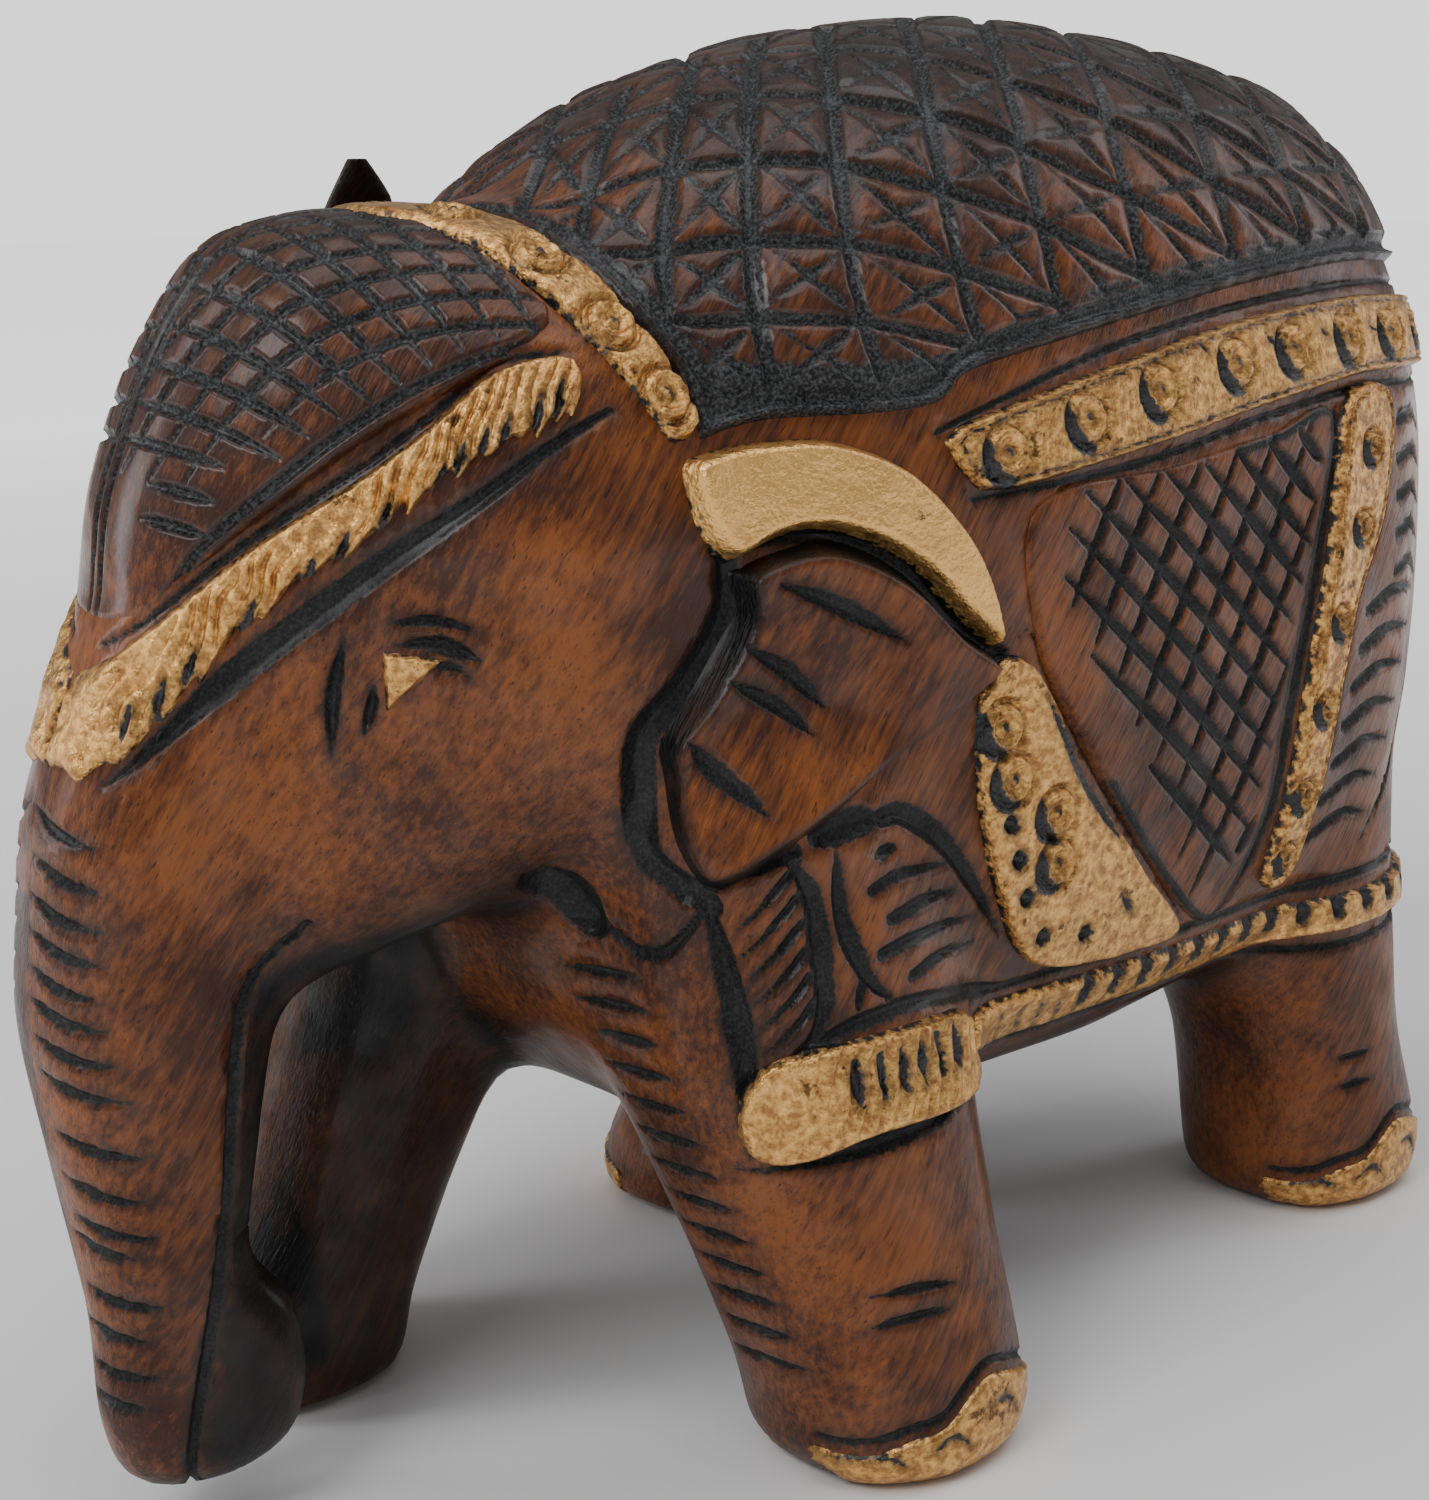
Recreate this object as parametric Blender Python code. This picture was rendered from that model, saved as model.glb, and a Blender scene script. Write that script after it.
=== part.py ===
"""Carved wooden elephant with a saddlecloth, cut from one block of wood, stained, lacquered and gilded.

The block is one solid. Each carved relief and each gilded ornament that stands on it is a thin solid of
its own, seated on the block's surface with a small gap, so that each can take its own finish.

Frame: +Z up, the head looks to -X, the elephant's left side is -Y. Tables are in millimetres.
"""

from math import pi, radians

import bmesh
import bpy
from mathutils import Matrix, Vector

MM = 0.001

# How the block is made
RING_SIDES = 28
SQUARENESS = 2.4
BELLY_SQUARENESS = 3.4
VOXEL = 1.6
SOFTEN_PASSES = 12
BLOCK_SHARE_KEPT = 0.075
SOLE_CUT = 0.6
SLIVER = 0.01

# How the reliefs stand on it
GAP = 0.35
GILT_LIFT = 1.15
CLOTH_LIFT = 1.3
EAR_LIFT = 3.6
TAIL_LIFT = 3.0
EYE_LIFT = 0.9

HEAD_TURN = radians(6)
NECK_PIVOT = Vector((-38, 0, 0))
LEFT, RIGHT = -1, 1
REACH = 60

# Torso and head rings are (centre x, y, z), half width, half height.
TORSO = [
    ((-48, 0, 84), 14, 16.5),
    ((-42, 0, 75.5), 22.5, 33.5),
    ((-32, 0, 74.5), 29.5, 44),
    ((-20, 0, 75), 33.5, 49.3),
    ((-3, 0, 77), 35.3, 51.7),
    ((18, 0, 77.7), 35.8, 53),
    ((40, 0, 77.8), 35.8, 51),
    ((58, 0, 78.3), 33.8, 47.5),
    ((70, 0, 77), 28, 40),
    ((78, 0, 74.2), 19.4, 30),
    ((81.2, 0, 72), 10, 16),
]
HEAD = [
    ((-26, 0, 81.5), 24, 25.5),
    ((-36, 0, 82.5), 28, 30.5),
    ((-46, 0, 83.5), 26.5, 30.5),
    ((-56, 0, 82), 21.8, 32),
    ((-64.5, 0, 80), 16.5, 32.5),
    ((-71, 0, 75.5), 12, 28),
    ((-77, 0, 70), 8.5, 19),
]
# Trunk rings are (centre x, y, z), half width, half depth, and the pitch of the ring's plane in degrees.
TRUNK = [
    ((-66, 0, 78), 12, 13, 20),
    ((-71.8, 0, 64), 11.7, 13.2, 10),
    ((-76, -0.3, 48), 10.4, 11, 4),
    ((-76.5, -1.5, 34), 9, 8.5, -4),
    ((-77, -2.5, 25), 7.5, 7, 0),
    ((-74.5, -3, 21.5), 6.5, 9.5, 0),
    ((-74, -3, 14), 6.3, 10.3, 0),
    ((-74, -3, 9), 6.3, 9.8, 0),
    ((-74.5, -3, 5.5), 5, 7, 0),
]
# Leg rings are (centre x, y, z), half length along X, half width along Y.
LEGS = {
    "fore_left": [
        ((-27, -16, 84), 11, 9),
        ((-26, -18.5, 62), 18, 16),
        ((-24, -21.5, 38), 17, 15.5),
        ((-21.5, -26.5, 20), 14, 14),
        ((-19.5, -30, 7), 13, 13),
        ((-19.5, -30, 0), 12.5, 12.5),
    ],
    "fore_right": [
        ((-32, 14, 84), 10, 9),
        ((-33, 17, 62), 17, 15.5),
        ((-38, 19.5, 40), 14.5, 13.5),
        ((-47, 20.5, 20), 12.5, 12),
        ((-54, 20.5, 7), 13, 12),
        ((-54, 20.5, 0), 12.5, 12),
    ],
    "hind_left": [
        ((50, -14, 84), 12, 9),
        ((53, -17, 62), 18, 14.5),
        ((54, -18.5, 40), 16, 14),
        ((57.5, -21, 20), 12, 12.5),
        ((60, -22, 7), 13.5, 13),
        ((60, -22, 0), 13, 12.5),
    ],
    "hind_right": [
        ((45, 14, 84), 12, 9),
        ((42, 17, 62), 18, 14.5),
        ((30, 18.5, 40), 15, 14),
        ((15, 21, 20), 11.5, 12),
        ((8, 24, 7), 12, 12),
        ((8, 24, 0), 12, 12),
    ],
}

# Outlines on the torso's side, as (x, z).
BACK_CLOTH = [
    (-52, 96.8), (-30, 97), (-20, 97), (-14.5, 97.6), (-11, 99.8), (2, 102), (27, 105.3), (50, 106.8),
    (70, 105.5), (90, 102), (90, 140), (-52, 140),
]
FLANK_BAND = [
    (-13, 95), (4, 98.5), (27, 102), (50, 103.2), (72, 101.5), (90, 98), (90, 91.5), (70, 94.5),
    (50, 95.6), (31, 94), (10, 91.3), (-8.6, 89.4), (-12.4, 90.6), (-14, 93),
]
SIDE_PANEL = [
    (-4.5, 87.5), (14.5, 89.3), (30, 91), (41, 92.3), (37.5, 78), (34, 64), (32, 50), (27.5, 41.5),
    (22, 43), (12, 52), (3.2, 63), (-4.5, 74.6),
]
ROSETTE_DROP = [
    (-10.8, 71.5), (-6, 73.5), (2, 61.5), (12, 50.5), (20.5, 42.3), (14, 41), (2, 43), (-6, 53), (-10.4, 64),
]
REAR_STRAP = [
    (43.5, 92.6), (52.5, 93.3), (51, 82), (45.5, 72), (43, 62), (41, 51), (39.5, 43.5), (35, 43.5),
    (35.5, 52), (37, 64), (40, 78),
]
HEM_BORDER = [
    (-9, 40), (15, 39.3), (40, 38.8), (60, 38.8), (76, 40.5), (76, 36.5), (60, 34.8), (40, 34.8),
    (15, 35.3), (-9, 36),
]
EAR = [
    (-42.4, 71), (-39.3, 75), (-35.2, 81), (-35.4, 84.4), (-30, 86.3), (-25.4, 85.7), (-20, 82.6),
    (-15, 77.6), (-10.4, 73.8), (-16.8, 69.8), (-25.5, 65), (-34, 61.4), (-39.5, 58.4), (-41.4, 60.8),
    (-42, 67.4),
]
EAR_RIM = [
    (-40, 93.6), (-37.5, 94.6), (-32, 95.2), (-26, 95), (-20, 92.6), (-15.5, 88.4), (-11.7, 83),
    (-9.6, 75.4), (-14.4, 78.4), (-19.6, 83.6), (-25.2, 86.7), (-30.2, 87.3), (-36, 85.4), (-39.2, 88.5),
]
# The right ear's tip stands up above the neck: rings are (centre x, y, z), half length, half thickness.
EAR_TIP = [
    ((-32, 32.6, 95.8), 8, 1.6),
    ((-32, 31.9, 103), 7, 1.5),
    ((-32, 30, 110), 5.5, 1.3),
    ((-32.5, 28, 115), 3.6, 1),
    ((-33.5, 27, 118.5), 1, 0.6),
]
# The fringe and the toe caps are drawn about the middle of their leg.
FRINGE = [(-13.5, 41.5), (-6.5, 43.5), (9, 42.5), (11.2, 38), (10, 34.5), (-4, 34.8), (-13, 33.5)]
TOE_CAP = [
    (-16, 4.6), (-11, 4.6), (-8, 6), (-4.5, 6.8), (-1.5, 9), (1.5, 10), (6.5, 8.5), (11.5, 6),
    (11.5, 2.2), (-16, 2.2),
]
# Outlines on the side of the head, in the head's own frame, as (x, z).
FOREHEAD_CAP = [
    (-45.4, 105.4), (-54.8, 100.4), (-62, 96.2), (-69, 90.4), (-73.8, 85.8), (-78.2, 82), (-87, 80.5),
    (-87, 120), (-55, 120), (-53.8, 114.8), (-50.6, 113.4), (-47.9, 111.2), (-45.8, 107.6),
]
NECK_BAND = [
    (-50, 120), (-48.4, 115.2), (-45, 114.4), (-42.1, 112.2), (-39.7, 108.5), (-37.5, 103.5),
    (-35.6, 99.5), (-35.2, 97), (-37.4, 96.2), (-39.2, 99.2), (-41.7, 103.3), (-44.4, 107.3),
    (-46.8, 110.9), (-49.4, 113), (-52.4, 114.4), (-53.8, 120),
]
BROW_BAND = [
    (-45.2, 102.2), (-50.9, 101.4), (-56.6, 97.2), (-61, 93.9), (-65.8, 90.6), (-70.5, 86.9),
    (-75.2, 82.4), (-78.8, 78.4), (-81, 75.5), (-87, 73), (-87, 69), (-79.4, 72.5), (-76.4, 76),
    (-73, 80), (-70.2, 83), (-66.1, 86.6), (-62.7, 89.2), (-57.8, 93), (-53.4, 96), (-46.6, 98.9),
]
EYE = [(-61.4, 80.2), (-57.2, 79.3), (-61.2, 75.2)]
# The tail's outline seen from behind, as (y, z).
TAIL = [
    (-2.8, 98.5), (2.8, 98.5), (2.3, 60), (3.2, 54), (2.6, 48), (0, 45.5), (-2.6, 48), (-3.2, 54), (-2.3, 60),
]

# Finish: name, colour, roughness, metallic
FINISHES = {
    "lacquered_wood": ((0.23, 0.085, 0.03, 1), 0.32, 0.0),
    "stained_wood": ((0.09, 0.035, 0.018, 1), 0.38, 0.0),
    "gold_paint": ((0.52, 0.34, 0.13, 1), 0.42, 0.75),
}


def clear_scene():
    for old in list(bpy.data.objects):
        bpy.data.objects.remove(old)


def finish(name):
    found = bpy.data.materials.get(name)
    if found:
        return found
    colour, roughness, metallic = FINISHES[name]
    made = bpy.data.materials.new(name)
    made.use_nodes = True
    shader = made.node_tree.nodes["Principled BSDF"]
    shader.inputs["Base Color"].default_value = colour
    shader.inputs["Roughness"].default_value = roughness
    shader.inputs["Metallic"].default_value = metallic
    return made


def add_object(name, mesh):
    made = bpy.data.objects.new(name, mesh)
    bpy.context.scene.collection.objects.link(made)
    return made


def to_object(name, bm):
    """Turns a bmesh drawn in millimetres into an object in metres."""
    bmesh.ops.scale(bm, vec=(MM, MM, MM), verts=bm.verts)
    bmesh.ops.recalc_face_normals(bm, faces=bm.faces)
    mesh = bpy.data.meshes.new(name)
    bm.to_mesh(mesh)
    bm.free()
    return add_object(name, mesh)


def hide(helper):
    helper.hide_render = True
    helper.display_type = "WIRE"
    return helper


# ---------------------------------------------------------------- the block


def ring(bm, centre, half_u, half_v, turn, belly):
    """A rounded square of RING_SIDES points, squarer below its middle where belly is set."""
    made = bmesh.ops.create_circle(bm, segments=RING_SIDES, radius=1)
    for v in made["verts"]:
        power = BELLY_SQUARENESS if belly and v.co.y < 0 else SQUARENESS
        v.co /= (abs(v.co.x) ** power + abs(v.co.y) ** power) ** (1 / power)
    place = Matrix.Translation(centre) @ turn @ Matrix.Diagonal((half_u, half_v, 1, 1))
    bmesh.ops.transform(bm, matrix=place, verts=made["verts"])
    return list({e for v in made["verts"] for e in v.link_edges})


def lofted(name, rings, belly=False):
    """Bridges rings of (centre, half_u, half_v, turn) into one closed tube."""
    bm = bmesh.new()
    edges = [ring(bm, *r, belly) for r in rings]
    for first, second in zip(edges, edges[1:]):
        bmesh.ops.bridge_loops(bm, edges=first + second)
    bmesh.ops.holes_fill(bm, edges=edges[0] + edges[-1])
    return to_object(name, bm)


def head_turn():
    """Turns the head and trunk about the neck, to the elephant's right."""
    away = Matrix.Translation(NECK_PIVOT)
    return away @ Matrix.Rotation(-HEAD_TURN, 4, "Z") @ away.inverted()


def metres(matrix):
    """The same turn for meshes that are already in metres."""
    moved = matrix.copy()
    moved.translation *= MM
    return moved


def masses():
    facing_x = Matrix.Rotation(pi / 2, 4, "Z") @ Matrix.Rotation(pi / 2, 4, "X")
    upright = Matrix.Identity(4)
    torso = lofted("torso", [(c, w, h, facing_x) for c, w, h in TORSO], belly=True)
    head = lofted("head", [(c, w, h, facing_x) for c, w, h in HEAD])
    trunk = lofted("trunk", [(c, d, w, Matrix.Rotation(radians(p), 4, "Y")) for c, w, d, p in TRUNK])
    for part in (head, trunk):
        part.data.transform(metres(head_turn()))
    legs = [lofted(name, [(c, l, w, upright) for c, l, w in rings]) for name, rings in LEGS.items()]
    return [torso, head, trunk, *legs]


def evaluated(obj):
    """The object's mesh with its modifiers applied, as a bmesh."""
    graph = bpy.context.evaluated_depsgraph_get()
    bm = bmesh.new()
    bm.from_object(obj, graph)
    return bm


def carved_block():
    """Joins the lofted masses, softens the creases between them and cuts the soles flat."""
    bm = bmesh.new()
    for part in masses():
        bm.from_mesh(part.data)
        bpy.data.objects.remove(part)
    mesh = bpy.data.meshes.new("rough_block")
    bm.to_mesh(mesh)
    bm.free()
    rough = add_object("rough_block", mesh)
    union = rough.modifiers.new("union", "REMESH")
    union.mode = "VOXEL"
    union.voxel_size = VOXEL * MM
    soften = rough.modifiers.new("soften", "SMOOTH")
    soften.factor, soften.iterations = 0.5, SOFTEN_PASSES
    thin = rough.modifiers.new("thin", "DECIMATE")
    thin.ratio = BLOCK_SHARE_KEPT
    bm = evaluated(rough)
    bpy.data.objects.remove(rough)
    everything = bm.verts[:] + bm.edges[:] + bm.faces[:]
    sole = (0, 0, SOLE_CUT * MM)
    bmesh.ops.bisect_plane(bm, geom=everything, plane_co=sole, plane_no=(0, 0, -1), clear_outer=True)
    bmesh.ops.holes_fill(bm, edges=[e for e in bm.edges if e.is_boundary])
    mesh = bpy.data.meshes.new("carved_block")
    bm.to_mesh(mesh)
    bm.free()
    return add_object("carved_block", mesh)


# ---------------------------------------------------------------- the reliefs


def swollen(block, lift, smooth=False):
    """A hidden copy of the block, grown outwards by lift millimetres."""
    made = hide(add_object(f"block_plus_{lift}", block.data.copy()))
    grow = made.modifiers.new("grow", "DISPLACE")
    grow.strength, grow.mid_level = lift * MM, 0
    if smooth:
        remesh = made.modifiers.new("remesh", "REMESH")
        remesh.mode = "VOXEL"
        remesh.voxel_size = 2 * MM
        soften = made.modifiers.new("soften", "SMOOTH")
        soften.factor, soften.iterations = 0.5, 4
        thin = made.modifiers.new("thin", "DECIMATE")
        thin.ratio = 0.2
    return made


def prism(name, outline, side=LEFT, inner=0.0, outer=REACH, place=None):
    """The outline, drawn as (x, z), pushed out sideways from inner to outer."""
    bm = bmesh.new()
    face = bm.faces.new([bm.verts.new((x, side * inner, z)) for x, z in outline])
    pushed = bmesh.ops.extrude_face_region(bm, geom=[face])["geom"]
    moved = [v for v in pushed if isinstance(v, bmesh.types.BMVert)]
    bmesh.ops.translate(bm, vec=(0, side * (outer - inner), 0), verts=moved)
    if place:
        bmesh.ops.transform(bm, matrix=place, verts=bm.verts)
    return to_object(name, bm)


def cut(obj, operation, other):
    step = obj.modifiers.new(operation.lower(), "BOOLEAN")
    step.operation, step.object = operation, other


def islands(bm):
    """The mesh's separate pieces, each a list of vertices."""
    left = set(bm.verts)
    found = []
    while left:
        piece, edge_of_search = set(), [left.pop()]
        while edge_of_search:
            v = edge_of_search.pop()
            piece.add(v)
            near = {e.other_vert(v) for e in v.link_edges} & left
            left -= near
            edge_of_search.extend(near)
        found.append(list(piece))
    return found


def settle(obj):
    """Applies the cuts and keeps the one real piece, without the slivers that grazing surfaces leave."""
    bm = evaluated(obj)
    bmesh.ops.triangulate(bm, faces=bm.faces)
    bmesh.ops.remove_doubles(bm, verts=bm.verts, dist=SLIVER * MM)
    bmesh.ops.dissolve_degenerate(bm, edges=bm.edges, dist=SLIVER * MM)
    for piece in sorted(islands(bm), key=len)[:-1]:
        bmesh.ops.delete(bm, geom=piece, context="VERTS")
    bmesh.ops.triangulate(bm, faces=bm.faces)
    obj.modifiers.clear()
    bm.to_mesh(obj.data)
    bm.free()


class Reliefs:
    """Seats prisms on the block: each keeps only the layer between the gap and its lift."""

    def __init__(self, block):
        self.clearance = swollen(block, GAP)
        self.grown = {lift: swollen(block, lift) for lift in (GILT_LIFT, CLOTH_LIFT, EYE_LIFT)}
        self.grown |= {lift: swollen(block, lift, smooth=True) for lift in (EAR_LIFT, TAIL_LIFT)}

    def seat(self, stamp, lift, finish_name):
        cut(stamp, "INTERSECT", self.grown[lift])
        cut(stamp, "DIFFERENCE", self.clearance)
        settle(stamp)
        stamp.data.materials.append(finish(finish_name))
        return stamp

    def clear(self):
        for helper in (self.clearance, *self.grown.values()):
            bpy.data.objects.remove(helper)


def torso_reliefs(reliefs):
    cloth = prism("back_cloth", BACK_CLOTH, inner=-REACH)
    collar = [(x + 1, z) for x, z in NECK_BAND[:8]]
    ahead = [*collar, (-34, 90), (-90, 90), (-90, 120)]
    front = hide(prism("ahead_of_collar", ahead, inner=-REACH, place=head_turn()))
    cut(cloth, "DIFFERENCE", front)
    reliefs.seat(cloth, CLOTH_LIFT, "stained_wood")
    bpy.data.objects.remove(front)
    for word, side in (("left", LEFT), ("right", RIGHT)):
        reliefs.seat(prism(f"flank_band_{word}", FLANK_BAND, side, 3.6), GILT_LIFT, "gold_paint")
        reliefs.seat(prism(f"side_panel_{word}", SIDE_PANEL, side, 20), CLOTH_LIFT, "stained_wood")
        reliefs.seat(prism(f"rosette_drop_{word}", ROSETTE_DROP, side, 20), GILT_LIFT, "gold_paint")
        reliefs.seat(prism(f"rear_strap_{word}", REAR_STRAP, side, 20), GILT_LIFT, "gold_paint")
        reliefs.seat(prism(f"hem_border_{word}", HEM_BORDER, side, 22), GILT_LIFT, "gold_paint")


def head_reliefs(reliefs):
    turn = head_turn()
    reliefs.seat(prism("forehead_cap", FOREHEAD_CAP, inner=-REACH, place=turn), CLOTH_LIFT, "stained_wood")
    reliefs.seat(prism("neck_band", NECK_BAND, inner=-REACH, place=turn), GILT_LIFT, "gold_paint")
    for word, side in (("left", LEFT), ("right", RIGHT)):
        reliefs.seat(prism(f"brow_band_{word}", BROW_BAND, side, 0.4, place=turn), GILT_LIFT, "gold_paint")
        reliefs.seat(prism(f"eye_{word}", EYE, side, 8, place=turn), EYE_LIFT, "gold_paint")
        reliefs.seat(prism(f"ear_{word}", EAR, side, 18), EAR_LIFT, "lacquered_wood")
        reliefs.seat(prism(f"ear_rim_{word}", EAR_RIM, side, 18), EAR_LIFT, "gold_paint")


def ear_tip():
    upright = Matrix.Identity(4)
    made = lofted("ear_tip_right", [(c, l, w, upright) for c, l, w in EAR_TIP])
    made.data.materials.append(finish("stained_wood"))


def leg_reliefs(reliefs):
    for leg, rings in LEGS.items():
        word = leg.split("_")[1]
        side = LEFT if word == "left" else RIGHT
        (foot_x, foot_y, _), _, _ = rings[-1]
        toes = [(foot_x + x, z) for x, z in TOE_CAP]
        reliefs.seat(prism(f"toe_cap_{leg}", toes, side, abs(foot_y) - 8), GILT_LIFT, "gold_paint")
        if leg.startswith("fore"):
            (shin_x, shin_y, _), _, _ = rings[2]
            fringe = [(shin_x + x, z) for x, z in FRINGE]
            stamp = prism(f"foreleg_fringe_{word}", fringe, side, abs(shin_y) + 4)
            reliefs.seat(stamp, GILT_LIFT, "gold_paint")


def tail(reliefs):
    """The tail lies down the middle of the rump: a prism drawn as (y, z) and pushed out along +X."""
    turned = Matrix.Rotation(pi / 2, 4, "Z")
    reliefs.seat(prism("tail", TAIL, LEFT, 50, 100, turned), TAIL_LIFT, "lacquered_wood")


def stand_on_origin():
    """Moves every mesh so that the origin is under the middle of the whole figure, on the ground."""
    points = [v.co for obj in bpy.data.objects for v in obj.data.vertices]
    low = Vector([min(p[axis] for p in points) for axis in range(3)])
    high = Vector([max(p[axis] for p in points) for axis in range(3)])
    middle = (low + high) / 2
    for obj in bpy.data.objects:
        obj.data.transform(Matrix.Translation((-middle.x, -middle.y, -low.z)))


clear_scene()
body = carved_block()
body.data.materials.append(finish("lacquered_wood"))
seats = Reliefs(body)
torso_reliefs(seats)
head_reliefs(seats)
ear_tip()
leg_reliefs(seats)
tail(seats)
seats.clear()
stand_on_origin()
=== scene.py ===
"""Looks for a carved wooden elephant with a saddlecloth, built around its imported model.

Everything is drawn in millimetres, in the drawing's own frame: +Z up from the ground, the head looks
to -X, the elephant's left side is -Y, and x = 0, y = 0 is under the middle of the torso's front half.
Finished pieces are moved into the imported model's frame, in metres.
"""

import random
from functools import cache
from math import ceil, cos, pi, radians, sin

import bmesh
import bpy
import numpy as np
from bpy.props import FloatProperty, FloatVectorProperty, PointerProperty
from mathutils import Matrix, Vector
from mathutils.bvhtree import BVHTree


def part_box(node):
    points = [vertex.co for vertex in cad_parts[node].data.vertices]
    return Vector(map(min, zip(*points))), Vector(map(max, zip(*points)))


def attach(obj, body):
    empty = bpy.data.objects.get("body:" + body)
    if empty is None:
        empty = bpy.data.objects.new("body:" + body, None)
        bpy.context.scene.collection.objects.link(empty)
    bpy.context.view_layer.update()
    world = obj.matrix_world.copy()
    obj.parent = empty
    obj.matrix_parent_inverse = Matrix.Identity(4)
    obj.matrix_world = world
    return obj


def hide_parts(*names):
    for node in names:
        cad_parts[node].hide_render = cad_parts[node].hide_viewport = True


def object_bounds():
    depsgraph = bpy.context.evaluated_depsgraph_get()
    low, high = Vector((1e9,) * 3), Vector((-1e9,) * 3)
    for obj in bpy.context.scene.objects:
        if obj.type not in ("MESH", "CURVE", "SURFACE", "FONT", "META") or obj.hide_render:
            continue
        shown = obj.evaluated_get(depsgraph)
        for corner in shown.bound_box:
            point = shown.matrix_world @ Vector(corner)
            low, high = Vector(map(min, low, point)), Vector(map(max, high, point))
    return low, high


bl_info = {
    "name": "Carved Elephant",
    "version": (1, 0, 0),
    "blender": (4, 5, 0),
    "location": "View3D > Sidebar > Carved Elephant",
    "description": "Carves, stains and gilds a wooden elephant around its packed model",
    "category": "Add Mesh",
}

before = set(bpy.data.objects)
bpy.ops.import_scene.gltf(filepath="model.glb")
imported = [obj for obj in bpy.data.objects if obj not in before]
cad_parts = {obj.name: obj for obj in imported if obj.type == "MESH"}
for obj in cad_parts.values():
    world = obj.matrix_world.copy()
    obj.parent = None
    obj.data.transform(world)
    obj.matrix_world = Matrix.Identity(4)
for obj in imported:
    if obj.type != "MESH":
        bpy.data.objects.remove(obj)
CAD_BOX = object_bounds()

MM = 0.001
LEFT, RIGHT = -1, 1
SIDES = {"left": LEFT, "right": RIGHT}

# Lengths in mm.
FAR = 200  # where the rays that look for the block start
MERGED = 0.02  # points nearer than this are one point
NOT_CUT = 3.0  # the distance recorded where no cut is near
SKIRT = 1.1  # how far a relief goes on outside its outline, under the block's surface
SUNK = 0.9  # how deep that skirt lies
RISE = 0.55  # how far outside its outline a relief starts to rise
LONGEST = 2.5  # a face with a longer edge spans a gap in the block
BED = 1.1  # how far the block is sunk under the thin reliefs
UNDERSIDE = 1.4  # how far a relief's closing wall goes into the block
CHUNK = 4096  # how many points are measured at once


def drawing_origin():
    """Where the drawing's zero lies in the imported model, from nodes whose drawn edges are known."""
    hem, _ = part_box("hem_border_left")
    tail_low, tail_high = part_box("tail")
    return Vector((hem.x + 9 * MM, (tail_low.y + tail_high.y) / 2, hem.z - 34.8 * MM))


ORIGIN = drawing_origin()

# ------------------------------------------------------------------ outlines, in mm as (x, z)

CLOTH_EDGE = [
    (-60, 97), (-30, 97), (-20, 97), (-14.5, 97.6), (-11, 99.8), (2, 102), (27, 105.3), (50, 106.8),
    (70, 105.5), (95, 102), (95, 150), (-60, 150),
]
FLANK_BAND = [
    (-13, 95), (4, 98.5), (27, 102), (50, 103.2), (72, 101.5), (95, 98), (95, 91.5), (70, 94.5),
    (50, 95.6), (31, 94), (10, 91.3), (-8.6, 89.4), (-12.4, 90.6), (-14, 93),
]
SIDE_PANEL = [
    (-4.5, 87.5), (14.5, 89.3), (30, 91), (41, 92.3), (37.5, 78), (34, 64), (32, 50), (27.5, 41.5),
    (22, 43), (12, 52), (3.2, 63), (-4.5, 74.6),
]
HATCHED = [
    (1, 88), (-1.5, 80), (0, 76), (6, 68), (12, 60), (17, 52), (20, 46), (24, 44), (30, 51),
    (32, 62), (35, 74), (38, 86), (39, 91.5), (20, 89.5),
]
ROSETTE_DROP = [
    (-11.4, 72), (-6, 73.5), (2, 61.5), (12, 50.5), (20.5, 42.3), (14, 41), (-1.5, 43.2), (-8.6, 52),
    (-11.9, 63),
]
REAR_STRAP = [
    (43.5, 92.6), (52.5, 93.3), (51, 82), (45.5, 72), (43, 62), (41, 51), (39.5, 43.5), (35, 43.5),
    (35.5, 52), (37, 64), (40, 78),
]
HEM_BORDER = [
    (-9, 40), (15, 39.3), (40, 38.8), (60, 38.8), (76, 40.5), (76, 36.5), (60, 34.8), (40, 34.8),
    (15, 35.3), (-9, 36),
]
EAR = [
    (-42.4, 71), (-39.3, 75), (-35.2, 81), (-35.4, 84.4), (-30, 86.3), (-25.4, 85.7), (-20, 82.6),
    (-15, 77.6), (-10.4, 73.8), (-16.8, 69.8), (-25.5, 65), (-34, 61.4), (-39.5, 58.4), (-41.4, 60.8),
    (-42, 67.4),
]
EAR_RIM = [
    (-40, 93.6), (-37.5, 94.6), (-32, 95.2), (-26, 95), (-20, 92.6), (-15.5, 88.4), (-11.7, 83),
    (-9.6, 75.4), (-14.4, 78.4), (-19.6, 83.6), (-25.2, 86.7), (-30.2, 87.3), (-36, 85.4), (-39.2, 88.5),
]
FRINGE = [(-13.5, 41.5), (-6.5, 43.5), (9, 42.5), (11.2, 38), (10, 34.5), (-4, 34.8), (-13, 33.5)]
TOE_CAP = [
    (-16, 4.6), (-11, 4.6), (-8, 6), (-4.5, 6.8), (-1.5, 9), (1.5, 10), (6.5, 8.5), (11.5, 6),
    (11.5, 1.6), (-16, 1.6),
]
NECK_BAND = [
    (-53, 122), (-48.4, 115.2), (-45, 114.4), (-42.1, 112.2), (-39.7, 108.5), (-37.5, 103.5),
    (-35.6, 99.5), (-35.2, 97), (-37.4, 96.2), (-39.2, 99.2), (-41.7, 103.3), (-44.4, 107.3),
    (-46.8, 110.9), (-49.4, 113), (-52.4, 114.4), (-56.5, 122),
]
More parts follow.
